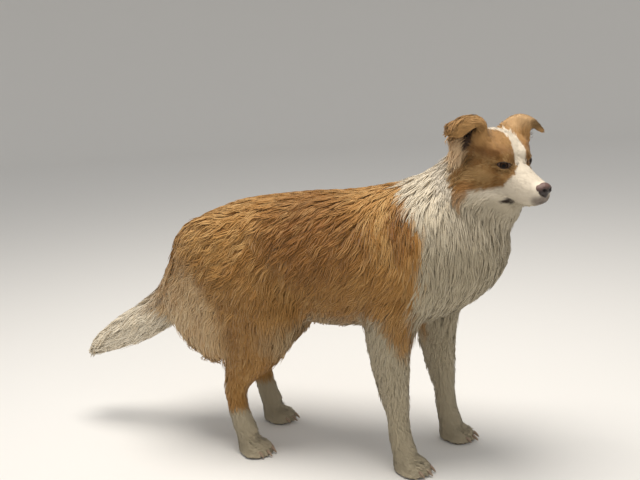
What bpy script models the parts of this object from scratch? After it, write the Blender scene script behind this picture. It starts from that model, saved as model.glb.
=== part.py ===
# A long-coated sheepdog, life size, standing and looking to its right.
# Metres, +X towards the head, +Y to the dog's left, +Z up. The solids reach the tips of the coat.
# The dog is modelled as one closed body from lofts and balls, and then parted with thin cuts.

from math import cos, pi, radians, sin

import bmesh
import bpy
from mathutils import Euler, Matrix, Vector

# ---- sizes ----

SIDES = {"right": -1, "left": 1}

# x, top, bottom and half width of the coat round the trunk, from the buttocks to the forechest
TRUNK = (
    (-0.372, 0.375, 0.330, 0.020),
    (-0.350, 0.408, 0.300, 0.052),
    (-0.312, 0.440, 0.288, 0.080),
    (-0.250, 0.479, 0.285, 0.098),
    (-0.170, 0.502, 0.282, 0.102),
    (-0.070, 0.512, 0.262, 0.111),
    (0.030, 0.516, 0.256, 0.121),
    (0.115, 0.526, 0.262, 0.124),
    (0.190, 0.525, 0.285, 0.114),
    (0.245, 0.505, 0.320, 0.096),
    (0.280, 0.480, 0.365, 0.070),
    (0.298, 0.455, 0.410, 0.035),
)
TRUNK_SQUARENESS = 2.25  # 2 is an ellipse

# Rings along a limb: centre, half width across, half width along the other way
NECK = (
    ((0.110, 0.000, 0.420), 0.100, 0.105),
    ((0.176, 0.000, 0.452), 0.092, 0.097),
    ((0.228, 0.002, 0.500), 0.078, 0.080),
    ((0.262, 0.006, 0.550), 0.060, 0.059),
)
# The tail hangs along the buttocks and sweeps out behind
TAIL = (
    ((-0.315, 0.000, 0.420), 0.033, 0.028),
    ((-0.346, 0.000, 0.380), 0.036, 0.032),
    ((-0.366, 0.000, 0.322), 0.038, 0.036),
    ((-0.402, 0.000, 0.268), 0.040, 0.041),
    ((-0.456, 0.000, 0.233), 0.039, 0.042),
    ((-0.516, 0.000, 0.204), 0.036, 0.038),
    ((-0.576, 0.000, 0.172), 0.024, 0.025),
    ((-0.6114, 0.000, 0.146), 0.005, 0.005),
)

# The legs, for the left side. x is measured from the elbow or from the hock.
ELBOW_X = {"right": 0.108, "left": 0.156}  # the left foreleg stands further forward
HOCK_X = {"right": -0.212, "left": -0.232}
FORELEG = (
    ((0.030, 0.078, 0.400), 0.045, 0.060),
    ((0.008, 0.084, 0.320), 0.042, 0.056),
    ((0.000, 0.082, 0.265), 0.032, 0.044),
    ((0.006, 0.082, 0.190), 0.0245, 0.031),
    ((0.010, 0.082, 0.120), 0.0225, 0.0245),
    ((0.012, 0.082, 0.070), 0.0205, 0.0225),
    ((0.022, 0.082, 0.030), 0.0230, 0.0250),
)
FOREARM_FEATHER = (
    ((-0.016, 0.082, 0.300), 0.022, 0.036),
    ((-0.020, 0.082, 0.240), 0.015, 0.030),
    ((-0.012, 0.082, 0.170), 0.011, 0.024),
    ((-0.004, 0.082, 0.115), 0.008, 0.018),
)
HINDLEG = (
    ((-0.050, 0.062, 0.400), 0.048, 0.078),
    ((0.012, 0.073, 0.340), 0.049, 0.098),
    ((0.062, 0.080, 0.278), 0.042, 0.088),
    ((0.052, 0.082, 0.225), 0.032, 0.060),
    ((0.014, 0.082, 0.165), 0.0235, 0.035),
    ((0.000, 0.082, 0.130), 0.0215, 0.027),
    ((0.006, 0.082, 0.085), 0.0200, 0.0230),
    ((0.022, 0.082, 0.035), 0.0225, 0.0250),
)
BREECHES = (
    ((-0.120, 0.045, 0.370), 0.038, 0.042),
    ((-0.098, 0.058, 0.305), 0.036, 0.062),
    ((-0.058, 0.068, 0.252), 0.031, 0.064),
    ((-0.014, 0.076, 0.198), 0.020, 0.038),
)
FOREPAW = (0.032, -4)  # ahead of the elbow, and degrees the toes turn outwards
HINDPAW = (0.034, -5)
PAW_Y = 0.082
TOES = ((0.006, -0.0215), (0.017, -0.0085), (0.017, 0.0085), (0.006, 0.0215))
TOE_RADII = (0.021, 0.0112, 0.0165)
CLAW_LENGTH = 0.015
CLAW_RADIUS = 0.0032
CLAW_CORNERS = 6
CLAW_DROOP = 32  # degrees

# Balls laid into the trunk: centre, radii, turn about Y in degrees;
# y is 0 in the middle, or for the left side
TRUNK_BALLS = {
    "shoulder": ((0.160, 0.072, 0.400), (0.085, 0.056, 0.115), 20),
    "haunch": ((-0.235, 0.064, 0.385), (0.105, 0.050, 0.090), 20),
    "behind the thigh": ((-0.250, 0.066, 0.262), (0.055, 0.034, 0.050), 0),
    "ruff on the forechest": ((0.206, 0, 0.425), (0.084, 0.092, 0.098), 0),
    "ruff under the throat": ((0.256, -0.006, 0.466), (0.062, 0.062, 0.068), 0),
    "fur under the chin": ((0.279, -0.014, 0.494), (0.056, 0.052, 0.062), 0),
    "fringe between the forelegs": ((0.168, 0, 0.325), (0.055, 0.062, 0.055), 0),
    "belly fringe": ((-0.020, 0, 0.298), (0.130, 0.072, 0.047), 0),
}

# The head has its own frame: x ahead, y left, z up, from a point midway between the eyes
HEAD_PLACE = Vector((0.325, -0.038, 0.565))
HEAD_TURN = Euler((radians(2.7), radians(12.0), radians(-38.0)), "XYZ")  # to the right and a little down
HEAD_SCALE = 0.965
HEAD_FRAME = Matrix.Translation(HEAD_PLACE) @ HEAD_TURN.to_matrix().to_4x4() @ Matrix.Scale(HEAD_SCALE, 4)

# x, top, bottom, half width
MUZZLE = (
    (-0.030, 0.012, -0.068, 0.037),
    (0.004, 0.002, -0.073, 0.0320),
    (0.028, -0.007, -0.072, 0.0270),
    (0.052, -0.0130, -0.065, 0.0235),
    (0.068, -0.0175, -0.057, 0.0200),
    (0.078, -0.023, -0.049, 0.0140),
)
MUZZLE_SQUARENESS = 2.3
HEAD_BALLS = {
    "skull": ((-0.058, 0, -0.002), (0.060, 0.052, 0.049), 0),
    "back of the head": ((-0.092, 0, -0.014), (0.036, 0.048, 0.046), 0),
    "under the jaw": ((-0.034, 0, -0.052), (0.050, 0.036, 0.024), 0),
    "cheek": ((-0.044, 0.034, -0.028), (0.040, 0.026, 0.038), 0),
    "ruff behind the cheek": ((-0.080, 0.040, -0.040), (0.036, 0.028, 0.044), 0),
    "ruff below the ear": ((-0.096, 0.046, -0.006), (0.026, 0.024, 0.034), 0),
    "root of the ear": ((-0.072, 0.038, 0.022), (0.028, 0.018, 0.022), 0),
    "fur ahead of the ear": ((-0.052, 0.040, 0.026), (0.024, 0.016, 0.031), 0),
    "temple": ((-0.032, 0.034, 0.012), (0.028, 0.015, 0.025), 0),
    "brow": ((-0.014, 0.0195, 0.010), (0.024, 0.019, 0.016), 0),
    "cheekbone": ((-0.006, 0.024, -0.024), (0.026, 0.014, 0.014), 0),
}
NOSE_BALLS = {
    "pad": ((0.0740, 0, -0.0260), (0.0105, 0.0125, 0.0100), 0),
    "wing": ((0.0715, 0.0085, -0.0285), (0.0105, 0.0075, 0.0090), 0),
    "down to the lip": ((0.0760, 0, -0.0355), (0.0065, 0.0055, 0.0080), 0),
}
EYE_PLACE = (-0.0015, 0.0238, -0.001)  # middle of the left eyeball
EYE_RADIUS = 0.0115
EYE_FACING = 46  # degrees outwards from straight ahead
EYE_OPENING = (0.0080, 0.0132, 0.0050)  # radii: into the head, along the lids, across them
EYE_OPENING_AHEAD = 0.0135  # from the middle of the eyeball

# Each ear as rows across it, from the root over the fold to the tip.
# Each row is its front edge, its back and its rear edge; y is given for the left side.
EAR_ROWS = {
    "right": (
        ((-0.036, 0.036, 0.010), (-0.086, 0.022, 0.019), (-0.094, 0.052, -0.010)),
        ((-0.034, 0.040, 0.038), (-0.090, 0.028, 0.043), (-0.102, 0.066, 0.019)),
        ((-0.038, 0.041, 0.060), (-0.073, 0.040, 0.069), (-0.101, 0.070, 0.045)),
        ((-0.048, 0.057, 0.054), (-0.072, 0.065, 0.066), (-0.096, 0.083, 0.049)),
        ((-0.060, 0.071, 0.037), (-0.074, 0.082, 0.035), (-0.090, 0.087, 0.038)),
    ),
    "left": (
        ((-0.020, 0.040, 0.002), (-0.084, 0.022, 0.015), (-0.092, 0.054, -0.010)),
        ((-0.024, 0.054, 0.028), (-0.084, 0.030, 0.036), (-0.096, 0.072, 0.018)),
        ((-0.029, 0.059, 0.045), (-0.055, 0.045, 0.063), (-0.082, 0.076, 0.044)),
        ((-0.026, 0.069, 0.040), (-0.037, 0.066, 0.059), (-0.059, 0.085, 0.049)),
        ((-0.018, 0.077, 0.035), (-0.020, 0.081, 0.039), (-0.026, 0.085, 0.035)),
    ),
}
EAR_GRID = (12, 20)  # faces across and along
EAR_THICKNESS = 0.0068

# Where the body is parted: the place and lean in degrees of a box, and its low and high corners
HEAD_CUT = ((-0.100, 0, -0.020), 40, (0, -0.15, -0.20), (0.25, 0.15, 0.15))  # in the head's frame
NECK_CUT = ((0.175, 0, 0.475), 42, (0, -0.20, -0.20), (0.20, 0.20, 0.20))
TAIL_TIP_CUT = ((-0.470, 0, 0), 0, (-0.33, -0.10, 0), (0, 0.10, 0.40))
TAIL_CUT = ((-0.325, 0, 0.430), -14, (-0.30, -0.041, -0.40), (0, 0.041, 0.03))
# The lengths of leg, from the paw up: reach behind and ahead of the joint,
# distance from the middle plane, top
FORELEG_CUTS = {
    "forepaw": (0.060, 0.120, 0.045, 0.045, "white_coat"),
    "foreleg": (0.058, 0.060, 0.045, 0.272, "gold_coat"),
}
HINDLEG_CUTS = {
    "hindpaw": (0.060, 0.120, 0.045, 0.045, "white_coat"),
    "hindleg_lower": (0.080, 0.120, 0.045, 0.150, "gold_coat"),
    "thigh": (0.170, 0.160, 0.020, 0.300, "gold_coat"),
}
OUTSIDE = 0.5  # from the middle plane, clear of the dog
CUT = 0.0004  # width of the cut between two parts

# ---- meshing ----

RING_CORNERS = 24
RINGS_PER_SECTION = 5
BALL_SEGMENTS = (24, 16)
BODY_VOXEL = 0.004
SMALL_VOXEL = 0.0014  # of the ears and the nose
SOFTENING = 40
FINE_SOFTENING_SHARE = 0.12  # of the head and the paws, which keep their detail
FINE_HEAD_RADIUS = 0.15
FINE_BELOW = 0.09
WHOLE_TRIANGLES = 16000  # of the body before it is parted
BODY_TRIANGLES = 6600  # of its parts together
EAR_TRIANGLES = 360
NOSE_TRIANGLES = 240
SHARP_ANGLE = radians(50)

COLOURS = {
    "gold_coat": (0.50, 0.29, 0.13),
    "white_coat": (0.78, 0.74, 0.66),
    "nose_leather": (0.09, 0.05, 0.05),
    "eye": (0.03, 0.015, 0.01),
    "claw": (0.35, 0.28, 0.22),
}
ROUGHNESS = {"gold_coat": 0.8, "white_coat": 0.8, "nose_leather": 0.35, "eye": 0.1, "claw": 0.4}


# ---- small tools ----


def clear_scene():
    for old in list(bpy.data.objects):
        bpy.data.objects.remove(old)


def give_material(obj, name):
    found = bpy.data.materials.get(name)
    if found is None:
        found = bpy.data.materials.new(name)
        found.use_nodes = True
        shader = found.node_tree.nodes["Principled BSDF"]
        shader.inputs["Base Color"].default_value = (*COLOURS[name], 1)
        shader.inputs["Roughness"].default_value = ROUGHNESS[name]
    obj.data.materials.clear()
    obj.data.materials.append(found)


def object_from(name, bm, collection):
    mesh = bpy.data.meshes.new(name)
    bm.to_mesh(mesh)
    bm.free()
    made = bpy.data.objects.new(name, mesh)
    collection.objects.link(made)
    return made


def apply_modifiers(obj):
    bpy.context.view_layer.update()
    graph = bpy.context.evaluated_depsgraph_get()
    mesh = bpy.data.meshes.new_from_object(obj.evaluated_get(graph))
    obj.modifiers.clear()
    obj.data = mesh


def triangle_count(obj):
    obj.data.calc_loop_triangles()
    return len(obj.data.loop_triangles)


def thin_out(obj, ratio):
    fewer = obj.modifiers.new("fewer faces", "DECIMATE")
    fewer.ratio = ratio
    fewer.use_collapse_triangulate = True
    apply_modifiers(obj)


def one_skin(obj, voxel):
    skin = obj.modifiers.new("one skin", "REMESH")
    skin.mode = "VOXEL"
    skin.voxel_size = voxel
    apply_modifiers(obj)


def soften(obj, iterations, group=""):
    smooth = obj.modifiers.new("soften", "SMOOTH")
    smooth.factor = 0.5
    smooth.iterations = iterations
    smooth.vertex_group = group
    apply_modifiers(obj)


def boolean(obj, cutter, operation):
    cut = obj.modifiers.new(operation, "BOOLEAN")
    cut.object = cutter
    cut.operation = operation
    cut.solver = "EXACT"
    apply_modifiers(obj)


def curve_through(values, t):
    """The Catmull-Rom curve through the given vectors, at t from 0 to their count less one."""
    last = len(values) - 1
    i = min(int(t), last - 1)
    s = t - i
    before, a, b, after = (values[min(max(k, 0), last)] for k in (i - 1, i, i + 1, i + 2))
    slope = b - before
    bend = 2 * before - 5 * a + 4 * b - after
    twist = 3 * a - before - 3 * b + after
    return a + 0.5 * (slope * s + bend * s**2 + twist * s**3)


# ---- masses: all are added to the same bmesh, and one skin is then laid over them ----


def add_loft(bm, sections, frame=Matrix(), squareness=2.0):
    """A closed body through rings, each of which is (centre, half width across, half width the other way)."""
    centres = [Vector(s[0]) for s in sections]
    sizes = [Vector((s[1], s[2], 0)) for s in sections]
    last = len(sections) - 1
    rings = []
    for step in range(last * RINGS_PER_SECTION + 1):
        t = step / RINGS_PER_SECTION
        centre, size = curve_through(centres, t), curve_through(sizes, t)
        ahead = curve_through(centres, min(t + 0.05, last)) - curve_through(centres, max(t - 0.05, 0))
        across = Vector((0, 1, 0))
        across = (across - across.project(ahead)).normalized()
        other = ahead.normalized().cross(across)
        ring = []
        for k in range(RING_CORNERS):
            c, s = cos(2 * pi * k / RING_CORNERS), sin(2 * pi * k / RING_CORNERS)
            reach = (abs(c) ** squareness + abs(s) ** squareness) ** (-1 / squareness)
            place = centre + reach * (c * size.x * across + s * size.y * other)
            ring.append(bm.verts.new(frame @ place))
        rings.append(ring)
    for first, second in zip(rings, rings[1:]):
        for k in range(RING_CORNERS):
            n = (k + 1) % RING_CORNERS
            bm.faces.new((first[k], first[n], second[n], second[k]))
    bm.faces.new(list(reversed(rings[0])))
    bm.faces.new(rings[-1])


def add_upright_loft(bm, rows, frame=Matrix(), squareness=2.0):
    """A loft along X through rows of x, top, bottom and half width."""
    rings = [((x, 0, (top + low) / 2), width, (top - low) / 2) for x, top, low, width in rows]
    add_loft(bm, rings, frame, squareness)


def add_leg_loft(bm, sections, x, side):
    add_loft(bm, [((x + ahead, side * y, z), width, depth) for (ahead, y, z), width, depth in sections])


def add_ball(bm, centre, radii, frame=Matrix(), turn=0):
    turned = Matrix.Rotation(radians(turn), 4, "Y") @ Matrix.Diagonal((*radii, 1))
    place = frame @ Matrix.Translation(Vector(centre)) @ turned
    around, along = BALL_SEGMENTS
    bmesh.ops.create_uvsphere(bm, u_segments=around, v_segments=along, radius=1, matrix=place)


def add_balls(bm, balls, frame=Matrix()):
    """Balls off the middle plane are made on both sides."""
    for (x, y, z), radii, turn in balls.values():
        sides = SIDES.values() if y > 0 else (1,)
        for side in sides:
            add_ball(bm, (x, side * y, z), radii, frame, turn)


def paw_places():
    """The frame of each paw, on the floor."""
    places = {}
    for name, side in SIDES.items():
        for kind, joint_x, (ahead, turn) in (("fore", ELBOW_X, FOREPAW), ("hind", HOCK_X, HINDPAW)):
            place = Matrix.Translation((joint_x[name] + ahead, side * PAW_Y, 0))
            places[f"{kind}paw_{name}"] = place @ Matrix.Rotation(radians(-side * turn), 4, "Z")
    return places


def add_paw(bm, frame):
    add_ball(bm, (-0.010, 0, 0.016), (0.027, 0.024, 0.022), frame)
    for x, y in TOES:
        add_ball(bm, (x, y, 0.010), TOE_RADII, frame)


def whole_dog(collection):
    bm = bmesh.new()
    add_upright_loft(bm, TRUNK, squareness=TRUNK_SQUARENESS)
    add_balls(bm, TRUNK_BALLS)
    add_loft(bm, NECK)
    add_loft(bm, TAIL)
    add_upright_loft(bm, MUZZLE, HEAD_FRAME, MUZZLE_SQUARENESS)
    add_balls(bm, HEAD_BALLS, HEAD_FRAME)
    for name, side in SIDES.items():
        add_leg_loft(bm, FORELEG, ELBOW_X[name], side)
        add_leg_loft(bm, FOREARM_FEATHER, ELBOW_X[name], side)
        add_leg_loft(bm, HINDLEG, HOCK_X[name], side)
        add_leg_loft(bm, BREECHES, HOCK_X[name], side)
    for frame in paw_places().values():
        add_paw(bm, frame)
    dog = object_from("trunk", bm, collection)
    one_skin(dog, BODY_VOXEL)
    group = dog.vertex_groups.new(name="softened")
    for vert in dog.data.vertices:
        fine = (vert.co - HEAD_PLACE).length < FINE_HEAD_RADIUS or vert.co.z < FINE_BELOW
        group.add([vert.index], FINE_SOFTENING_SHARE if fine else 1, "REPLACE")
    soften(dog, SOFTENING, "softened")
    dog.vertex_groups.clear()
    thin_out(dog, WHOLE_TRIANGLES / triangle_count(dog))
    return dog


def flatten_sole(paw):
    """Cuts the paw off level at the floor, so that it stands on a small flat."""
    bm = bmesh.new()
    bm.from_mesh(paw.data)
    everything = bm.verts[:] + bm.edges[:] + bm.faces[:]
    bmesh.ops.bisect_plane(bm, geom=everything, plane_co=(0, 0, 0), plane_no=(0, 0, 1), clear_inner=True)
    bmesh.ops.holes_fill(bm, edges=[e for e in bm.edges if e.is_boundary])
    bmesh.ops.triangulate(bm, faces=bm.faces[:])
    bmesh.ops.recalc_face_normals(bm, faces=bm.faces[:])
    bm.to_mesh(paw.data)
    bm.free()


# ---- pieces that are set into the body ----


def ear(name, collection):
    """A cupped leaf whose tip folds over outwards, made as an open grid and thickened."""
    bm = bmesh.new()
    bmesh.ops.create_grid(bm, x_segments=EAR_GRID[0], y_segments=EAR_GRID[1], size=1)
    rows = EAR_ROWS[name]
    edges = [[Vector(row[k]) for row in rows] for k in range(3)]
    for vert in bm.verts:
        u, t = vert.co.x, (vert.co.y + 1) / 2 * (len(rows) - 1)
        front, back, rear = (curve_through(edge, t) for edge in edges)
        place = front * (u * (u - 1) / 2) + back * (1 - u * u) + rear * (u * (u + 1) / 2)
        vert.co = HEAD_FRAME @ Vector((place.x, SIDES[name] * place.y, place.z))
    made = object_from(f"ear_{name}", bm, collection)
    thick = made.modifiers.new("thickness", "SOLIDIFY")
    thick.thickness = EAR_THICKNESS
    thick.offset = 0
    apply_modifiers(made)
    one_skin(made, SMALL_VOXEL)
    soften(made, 3)
    thin_out(made, EAR_TRIANGLES / triangle_count(made))
    give_material(made, "gold_coat")
    return made


def eye_frame(side):
    """The middle of an eyeball, with X the way the eye faces."""
    x, y, z = EYE_PLACE
    facing = Matrix.Rotation(radians(side * EYE_FACING), 4, "Z")
    return HEAD_FRAME @ Matrix.Translation((x, side * y, z)) @ facing


def eye(name, collection):
    bm = bmesh.new()
    bmesh.ops.create_icosphere(bm, subdivisions=2, radius=EYE_RADIUS, matrix=eye_frame(SIDES[name]))
    made = object_from(f"eye_{name}", bm, collection)
    give_material(made, "eye")
    return made


def open_eyes(body, tools):
    """Cuts the almond between the lids, in which the eyeball shows."""
    for side in SIDES.values():
        bm = bmesh.new()
        add_ball(bm, (EYE_OPENING_AHEAD, 0, 0), EYE_OPENING, eye_frame(side))
        almond = object_from("almond", bm, tools)
        boolean(body, almond, "DIFFERENCE")
        bpy.data.objects.remove(almond)


def nose(collection):
    bm = bmesh.new()
    add_balls(bm, NOSE_BALLS, HEAD_FRAME)
    made = object_from("nose", bm, collection)
    one_skin(made, SMALL_VOXEL)
    soften(made, 3)
    thin_out(made, NOSE_TRIANGLES / triangle_count(made))
    give_material(made, "nose_leather")
    return made


def claw(name, paw_frame, toe, collection):
    """A cone from the front of a toe, pointing ahead and down."""
    droop = Matrix.Rotation(radians(90 + CLAW_DROOP), 4, "Y")
    root = Matrix.Translation((toe[0] + TOE_RADII[0], toe[1], 0.0085))
    bm = bmesh.new()
    bmesh.ops.create_cone(
        bm,
        cap_ends=True,
        segments=CLAW_CORNERS,
        radius1=CLAW_RADIUS,
        radius2=CLAW_RADIUS / 4,
        depth=CLAW_LENGTH,
        matrix=paw_frame @ root @ droop,
    )
    made = object_from(name, bm, collection)
    give_material(made, "claw")
    return made


def seat_in(body, piece, tools):
    """Cuts the piece's seat out of the body, a cut's width larger than the piece."""
    seat = bpy.data.objects.new("seat", piece.data.copy())
    tools.objects.link(seat)
    grow = seat.modifiers.new("grow", "DISPLACE")
    grow.strength = CUT
    grow.mid_level = 0
    apply_modifiers(seat)
    boolean(body, seat, "DIFFERENCE")
    bpy.data.objects.remove(seat)


# ---- parting the whole dog ----


def cutting_box(low, high, tools, frame, grow=0.0):
    bm = bmesh.new()
    low, high = Vector(low), Vector(high)
    size = [high[k] - low[k] + 2 * grow for k in range(3)]
    place = frame @ Matrix.Translation((low + high) / 2) @ Matrix.Diagonal((*size, 1))
    bmesh.ops.create_cube(bm, size=1, matrix=place)
    box = object_from("cutter", bm, tools)
    box.hide_render = True
    box.display_type = "WIRE"
    return box


def part_off(body, name, low, high, colour, tools, frame=Matrix()):
    """Takes what is inside the box off the body as its own object, and leaves a cut's width between them."""
    piece = bpy.data.objects.new(name, body.data.copy())
    body.users_collection[0].objects.link(piece)
    inner = cutting_box(low, high, tools, frame)
    outer = cutting_box(low, high, tools, frame, grow=CUT)
    boolean(piece, inner, "INTERSECT")
    boolean(body, outer, "DIFFERENCE")
    bpy.data.objects.remove(inner)
    bpy.data.objects.remove(outer)
    give_material(piece, colour)


def tilted(place, lean):
    """A frame at a place, whose X axis is raised by the given degrees."""
    return Matrix.Translation(Vector(place)) @ Matrix.Rotation(radians(-lean), 4, "Y")


def part_the_dog(body, tools):
    cuts = {
        "head": (HEAD_FRAME, HEAD_CUT, "white_coat"),
        "neck": (Matrix(), NECK_CUT, "white_coat"),
        "tail_tip": (Matrix(), TAIL_TIP_CUT, "white_coat"),
        "tail": (Matrix(), TAIL_CUT, "gold_coat"),
    }
    for name, (frame, (place, lean, low, high), colour) in cuts.items():
        part_off(body, name, low, high, colour, tools, frame @ tilted(place, lean))
    for side_name, side in SIDES.items():
        for joint_x, lengths in ((ELBOW_X, FORELEG_CUTS), (HOCK_X, HINDLEG_CUTS)):
            for name, (behind, ahead, inner, top, colour) in lengths.items():
                x = joint_x[side_name]
                y0, y1 = sorted((side * inner, side * OUTSIDE))
                low, high = (x - behind, y0, -1), (x + ahead, y1, top)
                part_off(body, f"{name}_{side_name}", low, high, colour, tools)
    give_material(body, "gold_coat")


def centre_on_floor(collection):
    """Moves everything so that the middle of the box's floor is the origin."""
    corners = [v.co for o in collection.objects for v in o.data.vertices]
    middle = [(min(c[k] for c in corners) + max(c[k] for c in corners)) / 2 for k in (0, 1)]
    shift = Vector((-middle[0], -middle[1], 0))
    for o in collection.objects:
        o.data.transform(Matrix.Translation(shift))
    print("moved by", tuple(round(s, 5) for s in shift))


def main():
    clear_scene()
    dog = bpy.data.collections.new("sheepdog")
    tools = bpy.data.collections.new("tools")
    bpy.context.scene.collection.children.link(dog)
    bpy.context.scene.collection.children.link(tools)
    body = whole_dog(dog)
    open_eyes(body, tools)
    part_the_dog(body, tools)
    flesh = list(dog.objects)
    ratio = BODY_TRIANGLES / sum(triangle_count(o) for o in flesh)
    for o in flesh:
        thin_out(o, ratio)
    head = bpy.data.objects["head"]
    for piece in [nose(dog)] + [make(name, dog) for name in SIDES for make in (ear, eye)]:
        seat_in(head, piece, tools)
    for paw, frame in paw_places().items():
        flatten_sole(bpy.data.objects[paw])
        for number, toe in enumerate(TOES, 1):
            piece = claw(f"{paw.replace('paw', 'claw')}_{number}", frame, toe, dog)
            seat_in(bpy.data.objects[paw], piece, tools)
    centre_on_floor(dog)
    for o in dog.objects:
        o.data.shade_smooth()
        o.data.set_sharp_from_angle(angle=SHARP_ANGLE)


main()
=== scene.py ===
from math import cos, pi, radians, sin

import bmesh
import bpy
import numpy as np
from mathutils import Euler, Matrix, Vector
from mathutils.bvhtree import BVHTree
from mathutils.kdtree import KDTree


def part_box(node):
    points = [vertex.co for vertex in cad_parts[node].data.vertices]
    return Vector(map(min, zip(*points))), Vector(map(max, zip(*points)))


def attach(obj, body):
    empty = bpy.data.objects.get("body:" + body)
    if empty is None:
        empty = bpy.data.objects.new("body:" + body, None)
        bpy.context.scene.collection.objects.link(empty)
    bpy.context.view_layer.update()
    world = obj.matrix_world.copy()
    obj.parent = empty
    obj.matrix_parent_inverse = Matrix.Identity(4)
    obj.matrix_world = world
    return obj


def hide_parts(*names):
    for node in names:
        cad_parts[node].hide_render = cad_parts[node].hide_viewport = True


# A long-coated gold and white sheepdog. Metres: +X to the head, +Y to the dog's left, +Z up.
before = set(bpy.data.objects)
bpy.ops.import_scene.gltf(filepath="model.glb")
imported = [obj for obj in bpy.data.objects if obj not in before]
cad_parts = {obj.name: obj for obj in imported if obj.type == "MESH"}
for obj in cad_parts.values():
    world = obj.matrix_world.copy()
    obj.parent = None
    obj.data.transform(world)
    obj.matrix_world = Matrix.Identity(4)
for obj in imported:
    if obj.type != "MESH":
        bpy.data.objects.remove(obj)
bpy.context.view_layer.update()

sides = {"right": -1, "left": 1}
flesh = ["trunk", "neck", "head", "tail", "tail_tip"]
flesh += [f"{part}_{side}" for side in sides
          for part in ("ear", "thigh", "hindleg_lower", "hindpaw", "foreleg", "forepaw")]

# the head's own frame: x ahead, y left, z up, from a point midway between the eyes
headShape = {
    "place": (0.43570, -0.03807, 0.565),
    "turn": (2.7, 12.0, -38.0),  # degrees
    "scale": 0.965,
    "eye": (-0.0015, 0.0238, -0.001),  # the left eyeball
    "eyeRadius": 0.0115,
    "eyeFacing": 46,  # degrees outwards
    "middle": (-0.018, 0.0, -0.005),
    "radii": (0.107, 0.110, 0.088),  # of the egg shape that holds the head and not the neck
    "toTheNeck": (0.9, 1.8),  # from where to where beyond it the coat turns into the neck's
}
headTurn = np.array(Euler([radians(a) for a in headShape["turn"]], "XYZ").to_matrix())
headPlace = np.array(headShape["place"])


def intoHead(points):
    return (points - headPlace) @ headTurn / headShape["scale"]


def fromHead(points):
    return headPlace + (np.asarray(points, float) * headShape["scale"]) @ headTurn.T


def eyeFrame(side):
    x, y, z = headShape["eye"]
    turned = Matrix.Rotation(radians(side * headShape["eyeFacing"]), 3, "Z")
    axes = headTurn @ np.array(turned)
    return fromHead((x, side * y, z)), axes


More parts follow.
